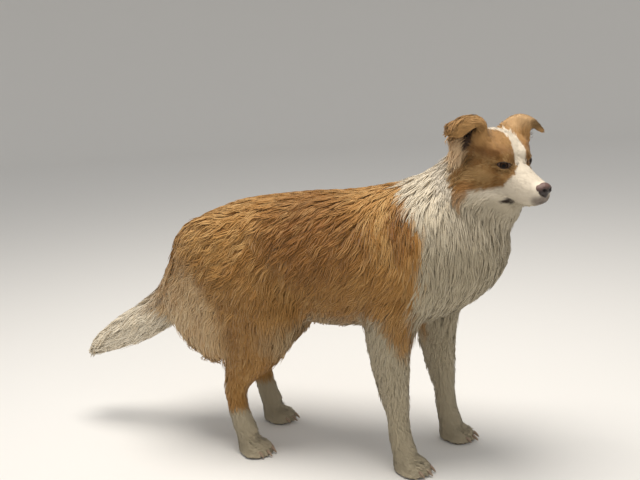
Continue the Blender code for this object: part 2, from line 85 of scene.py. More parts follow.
# what the coat is like round named places on the dog's left, and on its right by mirroring: place, reach,
# lie of the hair, length, depth over the skin, how much it hangs, height of its waves, tuft width
bodyCoat = {
    "withers": ((0.215, 0.03, 0.525), 0.045, (-0.3, 0.5, -0.8), 0.046, 0.008, 0.1, 0.0012, 0.0021),
    "back": ((0.06, 0.02, 0.515), 0.07, (-0.75, 0.45, -0.45), 0.055, 0.0081, 0.1, 0.0026, 0.0021),
    "loin": ((-0.09, 0.02, 0.5), 0.06, (-0.85, 0.4, -0.35), 0.058, 0.0086, 0.1, 0.0036, 0.0021),
    "croup": ((-0.19, 0.02, 0.46), 0.05, (-0.9, 0.15, -0.45), 0.06, 0.0086, 0.15, 0.0042, 0.0021),
    "upper ribs": ((0.08, 0.105, 0.46), 0.06, (-0.45, 0.0, -0.9), 0.058, 0.0081, 0.1, 0.0029, 0.0021),
    "upper flank": ((-0.04, 0.1, 0.45), 0.05, (-0.55, 0.0, -0.85), 0.058, 0.0081, 0.1, 0.0039, 0.0021),
    "ribs": ((0.11, 0.12, 0.39), 0.05, (-0.8, 0.0, -0.6), 0.06, 0.0081, 0.1, 0.0029, 0.0021),
    "flank": ((0.0, 0.11, 0.38), 0.05, (-0.7, 0.0, -0.75), 0.06, 0.0081, 0.2, 0.0034, 0.0021),
    "lower ribs": ((0.11, 0.105, 0.32), 0.045, (-0.65, 0.0, -0.8), 0.062, 0.0086, 0.4, 0.0031, 0.0022),
    "belly fringe": ((0.06, 0.08, 0.275), 0.05, (-0.25, 0.1, -1.0), 0.072, 0.0102, 0.85, 0.0042, 0.0022),
    "under the belly": ((0.04, 0.0, 0.262), 0.06, (-0.4, 0.0, -0.9), 0.058, 0.0092, 0.8, 0.002, 0.0023),
    "shoulder": ((0.245, 0.105, 0.44), 0.04, (0.02, 0.0, -1.0), 0.056, 0.0076, 0.15, 0.0014, 0.0021),
    "crease": ((0.205, 0.115, 0.46), 0.03, (0.3, 0.1, -1.0), 0.05, 0.0071, 0.1, 0.002, 0.0021),
    "upper arm": ((0.245, 0.105, 0.35), 0.035, (-0.35, 0.0, -0.95), 0.052, 0.0071, 0.3, 0.0022, 0.0021),
    "elbow": ((0.2, 0.11, 0.33), 0.03, (-0.95, 0.1, -0.4), 0.055, 0.0076, 0.2, 0.0031, 0.0021),
    "ruff side": ((0.315, 0.08, 0.45), 0.05, (0.08, 0.15, -1.0), 0.072, 0.0086, 0.4, 0.0013, 0.0021),
    "ruff low": ((0.315, 0.06, 0.36), 0.045, (-0.05, 0.1, -1.0), 0.074, 0.0092, 0.6, 0.0018, 0.0021),
    "forechest": ((0.395, 0.02, 0.42), 0.05, (-0.1, 0.05, -1.0), 0.072, 0.0092, 0.4, 0.0013, 0.0021),
    "chest": ((0.37, 0.0, 0.35), 0.045, (-0.3, 0.0, -1.0), 0.074, 0.0092, 0.6, 0.0018, 0.0021),
    "between forelegs": ((0.28, 0.0, 0.285), 0.045, (-0.35, 0.0, -1.0), 0.066, 0.0102, 0.8, 0.0022, 0.0022),
    "nape": ((0.31, 0.02, 0.575), 0.04, (-0.5, 0.45, -0.75), 0.042, 0.0065, 0.1, 0.001, 0.002),
    "neck side": ((0.32, 0.06, 0.52), 0.045, (-0.1, 0.1, -1.0), 0.06, 0.008, 0.2, 0.001, 0.0021),
    "throat": ((0.385, 0.02, 0.49), 0.045, (-0.05, 0.1, -1.0), 0.06, 0.0085, 0.3, 0.001, 0.0021),
    "haunch": ((-0.13, 0.1, 0.42), 0.045, (-0.85, 0.0, -0.55), 0.062, 0.0081, 0.1, 0.0051, 0.0021),
    "thigh": ((-0.12, 0.105, 0.35), 0.04, (-0.85, 0.0, -0.55), 0.062, 0.0081, 0.2, 0.0054, 0.0021),
    "front of the thigh": ((-0.03, 0.1, 0.37), 0.035, (-0.15, 0.0, -1.0), 0.055, 0.0076, 0.4, 0.0026, 0.0021),
    "knee": ((-0.07, 0.11, 0.285), 0.04, (-0.2, 0.0, -1.0), 0.034, 0.0081, 0.2, 0.0015, 0.0019),
    "buttock": ((-0.235, 0.06, 0.39), 0.04, (-0.6, 0.1, -0.85), 0.064, 0.0086, 0.4, 0.0048, 0.0021),
    "breeches": ((-0.205, 0.08, 0.31), 0.04, (-0.5, 0.1, -0.95), 0.078, 0.0102, 0.6, 0.0048, 0.0022),
    "low breeches": ((-0.155, 0.08, 0.245), 0.035, (-0.35, 0.0, -1.0), 0.066, 0.0092, 0.6, 0.0026, 0.0021),
    "gaskin": ((-0.08, 0.095, 0.22), 0.035, (-0.15, 0.0, -1.0), 0.024, 0.0074, 0.1, 0.0008, 0.0018),
    "hock": ((-0.122, 0.082, 0.14), 0.03, (-0.05, 0.0, -1.0), 0.017, 0.006, 0.0, 0.0004, 0.0017),
    "hind pastern": ((-0.11, 0.082, 0.075), 0.028, (0.1, 0.0, -1.0), 0.014, 0.005, 0.0, 0.0003, 0.0016),
    "hind paw": ((-0.08, 0.082, 0.025), 0.026, (0.9, 0.0, -0.45), 0.01, 0.0035, 0.0, 0.0002, 0.0014),
    "upper foreleg": ((0.245, 0.085, 0.29), 0.03, (-0.25, 0.0, -1.0), 0.032, 0.0074, 0.2, 0.0012, 0.0019),
    "forearm": ((0.262, 0.082, 0.22), 0.032, (-0.08, 0.0, -1.0), 0.02, 0.007, 0.0, 0.0006, 0.0017),
    "foreleg feather": ((0.232, 0.082, 0.23), 0.022, (-0.55, 0.0, -0.85), 0.05, 0.0081, 0.5, 0.002, 0.0019),
    "low feather": ((0.24, 0.082, 0.15), 0.02, (-0.45, 0.0, -0.9), 0.034, 0.0082, 0.4, 0.0016, 0.0018),
    "wrist": ((0.26, 0.082, 0.12), 0.028, (0.0, 0.0, -1.0), 0.015, 0.005, 0.0, 0.0003, 0.0016),
    "front pastern": ((0.262, 0.082, 0.065), 0.026, (0.15, 0.0, -1.0), 0.013, 0.005, 0.0, 0.0003, 0.0016),
    "forepaw": ((0.285, 0.082, 0.025), 0.026, (0.9, 0.0, -0.45), 0.01, 0.0035, 0.0, 0.0002, 0.0014),
    "root of the tail": ((-0.24, 0.0, 0.4), 0.035, (-0.7, 0.1, -0.75), 0.06, 0.0081, 0.1, 0.0022, 0.0021),
    "tail": ((-0.27, 0.015, 0.31), 0.04, (-0.7, 0.1, -0.75), 0.062, 0.0086, 0.2, 0.0024, 0.0021),
    "mid tail": ((-0.345, 0.01, 0.24), 0.045, (-0.85, 0.1, -0.6), 0.072, 0.0102, 0.2, 0.0028, 0.0021),
    "end of the tail": ((-0.44, 0.01, 0.19), 0.05, (-0.95, 0.05, -0.42), 0.076, 0.0102, 0.1, 0.0024, 0.0021),
}
# the same in the head's frame
headCoat = {
    "bridge of the nose": ((0.05, 0.004, -0.012), 0.015, (-1.0, 0.15, 0.35), 0.006, 0.0006, 0.0, 0.0, 0.0009),
    "tip of the muzzle": ((0.066, 0.01, -0.03), 0.01, (-1.0, 0.3, -0.2), 0.004, 0.0004, 0.0, 0.0, 0.0008),
    "side of the muzzle": ((0.035, 0.022, -0.035), 0.016, (-1.0, 0.1, -0.2), 0.007, 0.0006, 0.0, 0.0, 0.0009),
    "upper lip": ((0.035, 0.022, -0.055), 0.012, (-1.0, 0.0, -0.15), 0.006, 0.0006, 0.0, 0.0, 0.0009),
    "chin": ((0.062, 0.0, -0.055), 0.012, (-0.9, 0.0, -0.4), 0.006, 0.0006, 0.0, 0.0, 0.0009),
    "jaw": ((0.02, 0.01, -0.07), 0.018, (-1.0, 0.0, -0.25), 0.009, 0.0008, 0.0, 0.0, 0.001),
    "stop": ((0.01, 0.0, 0.012), 0.014, (-0.8, 0.0, 0.8), 0.007, 0.0008, 0.0, 0.0, 0.0009),
    "forehead": ((-0.025, 0.008, 0.036), 0.02, (-1.0, 0.05, 0.35), 0.01, 0.0014, 0.0, 0.0, 0.001),
    "crown": ((-0.07, 0.01, 0.044), 0.022, (-1.0, 0.1, -0.05), 0.016, 0.003, 0.0, 0.0004, 0.0012),
    "brow": ((0.0, 0.026, 0.016), 0.012, (-0.9, 0.2, 0.45), 0.006, 0.0008, 0.0, 0.0, 0.0009),
    "inner corner": ((0.018, 0.019, -0.006), 0.008, (-0.5, 0.5, 0.5), 0.004, 0.0005, 0.0, 0.0, 0.0008),
    "under the eye": ((0.004, 0.034, -0.016), 0.01, (-1.0, 0.1, -0.1), 0.005, 0.0007, 0.0, 0.0, 0.0009),
    "outer corner": ((-0.014, 0.04, 0.002), 0.009, (-1.0, 0.2, 0.05), 0.005, 0.0007, 0.0, 0.0, 0.0009),
    "temple": ((-0.036, 0.046, 0.014), 0.014, (-1.0, 0.1, 0.1), 0.009, 0.0014, 0.0, 0.0, 0.001),
    "cheekbone": ((-0.02, 0.044, -0.02), 0.014, (-1.0, 0.1, -0.12), 0.008, 0.0012, 0.0, 0.0, 0.001),
    "cheek": ((-0.038, 0.052, -0.038), 0.018, (-0.95, 0.1, -0.3), 0.011, 0.002, 0.0, 0.0002, 0.0011),
    "low cheek": ((-0.03, 0.038, -0.062), 0.014, (-0.35, 0.1, -0.95), 0.026, 0.0036, 0.1, 0.0004, 0.0014),
    "past the cheek": ((-0.076, 0.06, -0.048), 0.017, (0.22, 0.25, -1.0), 0.034, 0.007, 0.2, 0.0018, 0.0016),
    "below the ear": ((-0.09, 0.064, -0.012), 0.018, (0.24, 0.2, -1.0), 0.036, 0.0075, 0.3, 0.0024, 0.0016),
    "behind the ear": ((-0.11, 0.04, 0.01), 0.02, (-0.5, 0.2, -0.85), 0.036, 0.009, 0.1, 0.0014, 0.0016),
    "back of the head": ((-0.115, 0.0, 0.02), 0.025, (-0.7, 0.1, -0.7), 0.032, 0.0085, 0.1, 0.001, 0.0016),
    "under the jaw": ((-0.035, 0.01, -0.078), 0.02, (-0.2, 0.1, -1.0), 0.036, 0.007, 0.2, 0.0008, 0.0016),
    "root of the ear": ((-0.06, 0.036, 0.026), 0.014, (-0.5, 0.5, 0.7), 0.011, 0.0014, 0.0, 0.0, 0.001),
    "ear": ((-0.07, 0.052, 0.045), 0.016, (-0.1, 0.5, 0.9), 0.014, 0.0012, 0.0, 0.0, 0.0008),
    "fold of the ear": ((-0.062, 0.066, 0.064), 0.014, (0.15, 0.9, 0.1), 0.016, 0.0014, 0.0, 0.0, 0.0008),
    "tip of the ear": ((-0.05, 0.084, 0.052), 0.014, (0.15, 0.8, -0.6), 0.017, 0.0014, 0.0, 0.0, 0.0008),
    "inside the ear": ((-0.075, 0.06, 0.02), 0.014, (-0.2, 0.5, -0.8), 0.018, 0.0012, 0.2, 0.001, 0.0012),
    "front of the ear": ((-0.034, 0.044, 0.045), 0.012, (-0.2, 0.4, 0.9), 0.016, 0.0012, 0.0, 0.0, 0.0008),
    "corner of the mouth": ((0.01, 0.03, -0.064), 0.009, (-1.0, 0.0, -0.15), 0.004, 0.0006, 0.0, 0.0, 0.0009),
    "throat": ((-0.03, 0.022, -0.108), 0.022, (-0.05, 0.1, -1.0), 0.05, 0.01, 0.3, 0.001, 0.0019),
    "below the cheek": ((-0.07, 0.045, -0.088), 0.02, (0.1, 0.15, -1.0), 0.045, 0.009, 0.3, 0.0014, 0.0018),
}
foreLegRows = ("upper foreleg", "forearm", "foreleg feather", "low feather", "wrist", "front pastern",
               "forepaw")
hindLegRows = ("knee", "gaskin", "hock", "hind pastern", "hind paw")


def legShift(row, side):
    # the rows of the legs are placed for the left ones, and the right ones stand further back or ahead
    kind = "fore" if row in foreLegRows else "hind"
    if side > 0 or row not in foreLegRows + hindLegRows:
        return 0.0
    right, left = (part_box(f"{kind}paw_{name}") for name in sides)
    return (right[0].x + right[1].x - left[0].x - left[1].x) / 2


def rowsOf(table, inHead):
    rows = []
    for name, (place, reach, lie, *rest) in table.items():
        for side in sides.values():
            at, along = np.array(place) * (1, side, 1), np.array(lie) * (1, side, 1)
            if inHead:
                at, along = fromHead(at), headTurn @ along
            else:
                at[0] += legShift(name, side)
            rows.append((*at, reach, *(along / np.linalg.norm(along)), *rest))
    return np.array(rows)


bodyRows, headRows = rowsOf(bodyCoat, False), rowsOf(headCoat, True)


def mixedRows(points, rows):
    # each place counts within its reach, and far from all of them the nearest counts most
    gap = ((points[:, None, :] - rows[None, :, :3]) ** 2).sum(2)
    reach = rows[None, :, 3]
    weight = np.exp(-gap / (2 * reach ** 2)) + 1e-7 * reach ** 2 / (gap + 1e-4)
    weight /= weight.sum(1, keepdims=True)
    return weight @ rows[:, 4:]


def smoothStep(low, high, value):
    t = np.clip((value - low) / (high - low), 0, 1)
    return t * t * (3 - 2 * t)


def headShare(points):
    # 1 on the head, 0 on the neck and the rest
    offset = (intoHead(points) - headShape["middle"]) / headShape["radii"]
    return 1 - smoothStep(*headShape["toTheNeck"], (offset ** 2).sum(1))


def combed(points):
    # what the coat is like at these points
    share = headShare(points)
    mixed = mixedRows(points, bodyRows)
    near = share > 0
    mixed[near] += share[near, None] * (mixedRows(points[near], headRows) - mixed[near])
    found = {name: mixed[:, 3 + k] for k, name in enumerate(("long", "deep", "hang", "wave", "width"))}
    found["lie"] = mixed[:, :3]
    return found


# small tools for numpy meshes

def unit(vectors):
    return vectors / np.maximum(np.linalg.norm(vectors, axis=-1, keepdims=True), 1e-12)


def readMesh(mesh):
    mesh.calc_loop_triangles()
    points = np.empty(len(mesh.vertices) * 3, np.float32)
    mesh.vertices.foreach_get("co", points)
    faces = np.empty(len(mesh.loop_triangles) * 3, np.int32)
    mesh.loop_triangles.foreach_get("vertices", faces)
    return points.reshape(-1, 3).astype(float), faces.reshape(-1, 3)


def makeMesh(name, points, faces):
    mesh = bpy.data.meshes.new(name)
    mesh.vertices.add(len(points))
    mesh.vertices.foreach_set("co", points.astype(np.float32).ravel())
    mesh.loops.add(faces.size)
    mesh.loops.foreach_set("vertex_index", faces.astype(np.int32).ravel())
    mesh.polygons.add(len(faces))
    mesh.polygons.foreach_set("loop_start", np.arange(0, faces.size, faces.shape[1], dtype=np.int32))
    mesh.update(calc_edges=True)
    mesh.shade_smooth()
    return mesh


def makeObject(name, mesh):
    made = bpy.data.objects.new(name, mesh)
    bpy.context.scene.collection.objects.link(made)
    return made


def addUp(count, index, values):
    return np.stack([np.bincount(index, values[:, k], count) for k in range(values.shape[1])], 1)


def pointNormals(points, faces):
    a, b, c = (points[faces[:, k]] for k in range(3))
    normal = np.cross(b - a, c - a)
    summed = sum(addUp(len(points), faces[:, k], normal) for k in range(3))
    return unit(summed)


def edgesOf(faces):
    pairs = np.concatenate([faces[:, (0, 1)], faces[:, (1, 2)], faces[:, (2, 0)]])
    return np.unique(np.sort(pairs, 1), axis=0)


def neighbourMean(values, edges):
    count = np.bincount(edges.ravel(), minlength=len(values))[:, None]
    a, b = edges[:, 0], edges[:, 1]
    return (addUp(len(values), a, values[b]) + addUp(len(values), b, values[a])) / count


def smoothed(values, edges, rounds, share=0.5):
    flat = values.ndim == 1
    values = values[:, None] if flat else values
    for _ in range(rounds):
        values = values + share * (neighbourMean(values, edges) - values)
    return values[:, 0] if flat else values


def treeOf(points, faces):
    return BVHTree.FromPolygons(points.tolist(), faces.tolist())


def nearestOn(tree, points):
    places, normals, faces = [], [], []
    for point in points.tolist():
        place, normal, face, _ = tree.find_nearest(point)
        places.append(place)
        normals.append(normal)
        faces.append(face)
    return np.array(places), np.array(normals), np.array(faces)


# the coat's outline, from the solids of flesh

skinShape = {
    "overlap": 0.0006,  # closes the cuts between the solids
    "voxel": 0.0062,
    "headRadius": 0.125,  # inside it the mesh is finer
    "headFineness": 2.7,
    "pawTop": 0.085,
    "eyeFineRadius": 0.021,
    "mouthFineRadius": 0.008,
    "thicknessShare": 0.36,  # of a part's thickness that the coat may take from one side
    "mostThick": 0.2,
    "soles": (0.003, 0.014),  # the coat starts between these heights, so the pads stay on the floor
    "steps": 8,
    "softDepth": 0.02,  # a coat this deep is smoothed fully
    "softShare": (0.02, 0.6),
}


def joinedNodes(names, grow):
    points, faces, labels, first = [], [], [], 0
    for label, name in enumerate(names):
        p, f = readMesh(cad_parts[name].data)
        points.append(p + grow * pointNormals(p, f))
        faces.append(f + first)
        labels.append(np.full(len(f), label))
        first += len(p)
    return np.concatenate(points), np.concatenate(faces), np.concatenate(labels)


def spreadHead(points, back=False):
    # makes room round the head, so that even voxels come out finer there, or undoes it
    offset = points - headPlace
    radius = np.linalg.norm(offset, axis=1, keepdims=True)
    near, fine = skinShape["headRadius"], skinShape["headFineness"]
    if back:
        new = np.where(radius < near * fine, radius / fine, near + radius - near * fine)
    else:
        new = np.where(radius < near, radius * fine, near * fine + radius - near)
    return headPlace + offset * new / np.maximum(radius, 1e-9)


def eyePlaces(points, side):
    # along the lids (towards the nose), up, and out of the eye
    centre, axes = eyeFrame(side)
    local = (points - centre) @ axes
    return -side * local[:, 1], local[:, 2], local[:, 0]


# where the lips meet, from the nose back, on the left in the head's frame
mouthLine = ((0.0735, 0.004, -0.0470), (0.0640, 0.010, -0.0560), (0.0501, 0.0135, -0.0617),
             (0.0320, 0.0200, -0.0662), (0.0153, 0.0265, -0.0680), (0.0040, 0.0305, -0.0656))


def fromLine(points, line):
    # distance from a line, and how far along it the nearest point is, from 0 to 1
    best = np.full(len(points), 1e9)
    share = np.zeros(len(points))
    for k, (a, b) in enumerate(zip(line, line[1:])):
        a, b = np.array(a), np.array(b)
        t = np.clip((points - a) @ (b - a) / ((b - a) @ (b - a)), 0, 1)
        gap = np.linalg.norm(points - a - t[:, None] * (b - a), axis=1)
        nearer = gap < best
        best[nearer] = gap[nearer]
        share[nearer] = ((k + t) / (len(line) - 1))[nearer]
    return best, share


def finer(mesh, wanted):
    bm = bmesh.new()
    bm.from_mesh(mesh)
    mask = wanted(np.array([v.co for v in bm.verts]))
    edges = [e for e in bm.edges if mask[e.verts[0].index] and mask[e.verts[1].index]]
    bmesh.ops.subdivide_edges(bm, edges=edges, cuts=1, use_grid_fill=True)
    bm.to_mesh(mesh)
    bm.free()


def nearEyes(points, radius):
    centres = [eyeFrame(side)[0] for side in sides.values()]
    return np.any([np.linalg.norm(points - centre, axis=1) < radius for centre in centres], axis=0)


def mirroredHead(points):
    # in the head's frame, with both sides laid on the left one
    local = intoHead(points)
    local[:, 1] = abs(local[:, 1])
    return local


def nearMouth(points, radius):
    return fromLine(mirroredHead(points), mouthLine)[0] < radius / headShape["scale"]


def outlineMesh():
    names = flesh + ["nose", "eye_left", "eye_right"]
    points, faces, _ = joinedNodes(names, skinShape["overlap"])
    draft = makeObject("outline", makeMesh("outline", spreadHead(points), faces))
    remesh = draft.modifiers.new("one skin", "REMESH")
    remesh.mode = "VOXEL"
    remesh.voxel_size = skinShape["voxel"]
    graph = bpy.context.evaluated_depsgraph_get()
    mesh = bpy.data.meshes.new_from_object(draft.evaluated_get(graph))
    bpy.data.objects.remove(draft)
    count = len(mesh.vertices)
    points = np.empty(count * 3, np.float32)
    mesh.vertices.foreach_get("co", points)
    points = spreadHead(points.reshape(-1, 3).astype(float), back=True)
    mesh.vertices.foreach_set("co", points.astype(np.float32).ravel())
    eyeRadius, mouthRadius = skinShape["eyeFineRadius"], skinShape["mouthFineRadius"]
    finer(mesh, lambda p: p[:, 2] < skinShape["pawTop"])
    finer(mesh, lambda p: nearEyes(p, eyeRadius) | nearMouth(p, mouthRadius))
    finer(mesh, lambda p: nearEyes(p, 0.75 * eyeRadius))
    return mesh


def shrunk(points, faces, depth):
    # goes in by the depth in small steps, smoothed most where the coat is deep
    edges = edgesOf(faces)
    soft = np.clip(depth / skinShape["softDepth"], *skinShape["softShare"])[:, None]
    for _ in range(skinShape["steps"]):
        normals = smoothed(pointNormals(points, faces), edges, 3)
        points = points - unit(normals) * (depth / skinShape["steps"])[:, None]
        points = points + soft * (neighbourMean(points, edges) - points)
    return points


outlinePoints, outlineFaces, outlineLabels = joinedNodes(flesh, 0)
outlineTree = treeOf(outlinePoints, outlineFaces)


def coatDepth(points, faces):
    normals = pointNormals(points, faces)
    tree = treeOf(points, faces)
    room = []
    for point, inward in zip(points - 0.0008 * normals, -normals):
        hit = tree.ray_cast(point.tolist(), inward.tolist(), skinShape["mostThick"])
        room.append(skinShape["mostThick"] if hit[0] is None else hit[3])
    depth = np.minimum(combed(points)["deep"], skinShape["thicknessShare"] * np.array(room))
    sole = smoothStep(*skinShape["soles"], points[:, 2])
    return smoothed(depth, edgesOf(faces), 12) * sole


# the face, in the head's frame for the left side; sizes in metres
faceShape = {
    "lidHalfLength": 0.0136, "upperLid": 0.0051, "lowerLid": 0.0039, "lidTilt": -0.02,
    "lidThickness": 0.0008, "lidReach": 0.0085, "socket": 0.0016,
    "lidRoll": 0.25,  # how the lid thickens away from its rim
    "lidFold": (0.0042, 0.0009, 0.0008),  # distance from the rim, width, depth
    "lowerFold": (0.0040, 0.0012, 0.0006),
    "lipWidth": 0.0014, "lipDepth": 0.0030,
    "lipBulge": 0.0007, "upperLip": (0.004, 0.003), "lowerLip": (0.003, 0.002),  # how far off, width
    "mouthCorner": (0.50, 0.66, 0.0036),  # where along the lips they part, and by how much
    "noseSeat": (-0.0285, 0.0155, 0.0120, 0.060, 0.0075),  # height, half width, half height, from, depth
}
creases = {  # line, width, depth
    "behind the eye": (
        ((-0.011, 0.040, 0.001), (-0.022, 0.045, 0.000), (-0.036, 0.049, -0.005)), 0.0022, 0.0010),
    "from the inner corner": (((0.0150, 0.0215, -0.003), (0.0230, 0.0200, -0.010)), 0.0020, 0.0010),
    "under the eye": (
        ((0.014, 0.026, -0.012), (0.004, 0.035, -0.014), (-0.008, 0.042, -0.010)), 0.0024, 0.0006),
    "middle of the forehead": (((0.012, 0.000, 0.014), (-0.030, 0.000, 0.040)), 0.0050, 0.0005),
}


def rimDistance(points, side):
    # from the edge of the lids on the eyeball; below 0 in the opening
    radius = headShape["eyeRadius"] * headShape["scale"]
    u, v, out = eyePlaces(points, side)
    flat = np.maximum(np.hypot(u, v), 1e-9)
    distance = np.hypot(flat, out)
    arc = np.arctan2(flat, out) * radius
    u, v = u / flat * arc, v / flat * arc
    v = v + faceShape["lidTilt"] * u
    half = faceShape["lidHalfLength"]
    share = np.clip(1 - (u / half) ** 2, 0, 1)
    inside = np.where(v > 0, v - faceShape["upperLid"] * share ** 0.85, -v - faceShape["lowerLid"] * share)
    rim = np.where(abs(u) < half, inside, np.hypot(abs(u) - half, v))
    close = (out > 0.001) & (distance < radius + faceShape["lidReach"])
    return np.where(close, rim, 0.1), distance, v


def hump(distance, width):
    return np.exp(-(distance / width) ** 2)


def shapeLids(points, side):
    rim, distance, up = rimDistance(points, side)
    near = rim < faceShape["lidReach"]
    radius = headShape["eyeRadius"] * headShape["scale"]
    far, lift, deep = faceShape["lidFold"]
    lowFar, lowLift, lowDeep = faceShape["lowerFold"]
    lid = radius + faceShape["lidThickness"] + faceShape["lidRoll"] * np.clip(rim, 0, 0.01)
    lid -= np.where(up > 0, deep * hump(rim - far, lift), lowDeep * hump(rim - lowFar, lowLift))
    blend = smoothStep(0.001, faceShape["lidReach"], rim)
    wanted = np.where(rim < 0, radius - faceShape["socket"], lid + (distance - lid) * blend)
    centre, _ = eyeFrame(side)
    moved = centre + (points - centre) * (wanted / distance)[:, None]
    return np.where(near[:, None], moved, points)


def onHead(line, tree):
    # the places of a line on the skin, for the left side, in the head's frame
    places, _, _ = nearestOn(tree, fromHead(line))
    return [tuple(p) for p in intoHead(places)]


def fromNose(points):
    # below 1 where the leather of the nose covers the skin
    height, halfWidth, halfHeight, start, _ = faceShape["noseSeat"]
    local = intoHead(points)
    gap = (local[:, 1] / halfWidth) ** 2 + ((local[:, 2] - height) / halfHeight) ** 2
    return np.where(local[:, 0] > start, gap, 9.0)


def shapeFace(points, faces):
    normals = pointNormals(points, faces)
    tree = treeOf(points, faces)
    lipLine = onHead(mouthLine, tree)
    local = mirroredHead(points)
    near = np.linalg.norm(local, axis=1) < 0.13  # the head only
    gap, share = fromLine(local[near], lipLine)
    above = local[near][:, 2] > np.interp(local[near][:, 0], [p[0] for p in lipLine[::-1]],
                                          [p[2] for p in lipLine[::-1]])
    start, full, parted = faceShape["mouthCorner"]
    lipWidth = faceShape["lipWidth"] + parted * smoothStep(start, full, share)
    push = -faceShape["lipDepth"] * (0.5 + 0.8 * share) * hump(gap, lipWidth)
    (upperFar, upperWide), (lowerFar, lowerWide) = faceShape["upperLip"], faceShape["lowerLip"]
    bulge = np.where(above, hump(gap - upperFar, upperWide), 0.6 * hump(gap - lowerFar, lowerWide))
    push += faceShape["lipBulge"] * bulge
    for line, width, deep in creases.values():
        push -= deep * hump(fromLine(local[near], onHead(line, tree))[0], width)
    points = points.copy()
    points[near] += push[:, None] * normals[near]
    # the skin passes well under the leather of the nose
    under = 1 - smoothStep(0.50, 0.90, fromNose(points))
    points -= faceShape["noseSeat"][4] * under[:, None] * headTurn[:, 0]
    for side in sides.values():
        points = shapeLids(points, side)
    return points


toeShape = {
    "betweenToes": (-0.015, 0.0, 0.015), "grooveWidth": 0.0022, "grooveDepth": 0.0026,
    "turn": {"fore": 4, "hind": 5},  # degrees outwards
    "reach": 0.07, "height": 0.045,  # of a paw
    "front": (-0.004, 0.012),  # the grooves start between these places, ahead of its middle
    "floorGap": 0.0003,
}


def pawFrames():
    # the middle of each paw on the floor, and how far its toes turn outwards
    frames = []
    for kind, turn in toeShape["turn"].items():
        for name, side in sides.items():
            low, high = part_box(f"{kind}paw_{name}")
            middle = Vector(((low.x + high.x) / 2, (low.y + high.y) / 2, 0))
            frames.append((middle, radians(side * turn)))
    return frames


def shapeToes(points, faces):
    normals = pointNormals(points, faces)
    points = points.copy()
    for place, turn in pawFrames():
        offset = points - np.array(place)
        near = np.hypot(offset[:, 0], offset[:, 1]) < toeShape["reach"]
        near &= points[:, 2] < toeShape["height"]
        ahead = offset[near, 0] * cos(turn) + offset[near, 1] * sin(turn)
        across = offset[near, 1] * cos(turn) - offset[near, 0] * sin(turn)
        front = smoothStep(*toeShape["front"], ahead)
        push = np.zeros(near.sum())
        for y in toeShape["betweenToes"]:
            push -= toeShape["grooveDepth"] * hump(across - y, toeShape["grooveWidth"]) * front
        points[near] += push[:, None] * normals[near]
    points[:, 2] = np.maximum(points[:, 2], toeShape["floorGap"])
    return points


def skinMesh():
    mesh = outlineMesh()
    points, faces = readMesh(mesh)
    edges = edgesOf(faces)
    outer = smoothed(points, edges, 4)
    points = shrunk(outer, faces, coatDepth(outer, faces))
    points = shapeToes(shapeFace(points, faces), faces)
    made = makeMesh("skin", points, faces)
    print("skin:", len(points), "points", len(faces), "triangles")
    return made, outer


skinOnly, outerPoints = skinMesh()
skin = makeObject("skin", skinOnly)
bpy.context.view_layer.objects.active = skin
skin.select_set(True)
bpy.ops.object.mode_set(mode="EDIT")
bpy.ops.mesh.select_all(action="SELECT")
bpy.ops.uv.smart_project(angle_limit=radians(66), island_margin=0.001)
bpy.ops.object.mode_set(mode="OBJECT")
skin.data.uv_layers[0].name = "OFBake"
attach(skin, "root")
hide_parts(*flesh)


# the eyes, the nose and the claws

eyeShape = {"around": 64, "rings": 40, "corneaAngle": 30, "corneaRise": 0.0009}


def eyeball(name, side):
    centre, axes = eyeFrame(side)
    radius = headShape["eyeRadius"] * headShape["scale"]
    bm = bmesh.new()
    bmesh.ops.create_uvsphere(bm, u_segments=eyeShape["around"], v_segments=eyeShape["rings"], radius=1,
                              matrix=Matrix.Rotation(pi / 2, 4, "Y"))
    edge = cos(radians(eyeShape["corneaAngle"]))
    gaze = []
    for v in bm.verts:
        gaze.append(v.co.copy())
        rise = max(0.0, (v.co.x - edge) / (1 - edge))
        v.co = v.co * (radius + eyeShape["corneaRise"] * sin(rise * pi / 2))
        v.co = Vector(centre + axes @ np.array(v.co))
    mesh = bpy.data.meshes.new(name)
    bm.to_mesh(mesh)
    bm.free()
    mesh.shade_smooth()
    looks = mesh.attributes.new("gaze", "FLOAT_VECTOR", "POINT")
    looks.data.foreach_set("vector", np.array(gaze, np.float32).ravel())
    made = makeObject(name, mesh)
    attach(made, "root")
    return made


noseShape = {"voxel": 0.0008, "softening": 6, "darkFrom": 0.0026}  # the depth at which a nostril is painted black, as shadow in its opening
nostrils = {  # line in the head's frame, width, depth
    "opening": (((0.0835, 0.0048, -0.0275), (0.0815, 0.0072, -0.0262)), 0.0022, 0.0042),
    "wing slit": (
        ((0.0815, 0.0072, -0.0262), (0.0780, 0.0125, -0.0285), (0.0740, 0.0150, -0.0320)), 0.0011, 0.0020),
    "middle groove": (
        ((0.0850, 0.0, -0.0250), (0.0845, 0.0, -0.0330), (0.0815, 0.0, -0.0430)), 0.0009, 0.0012),
}


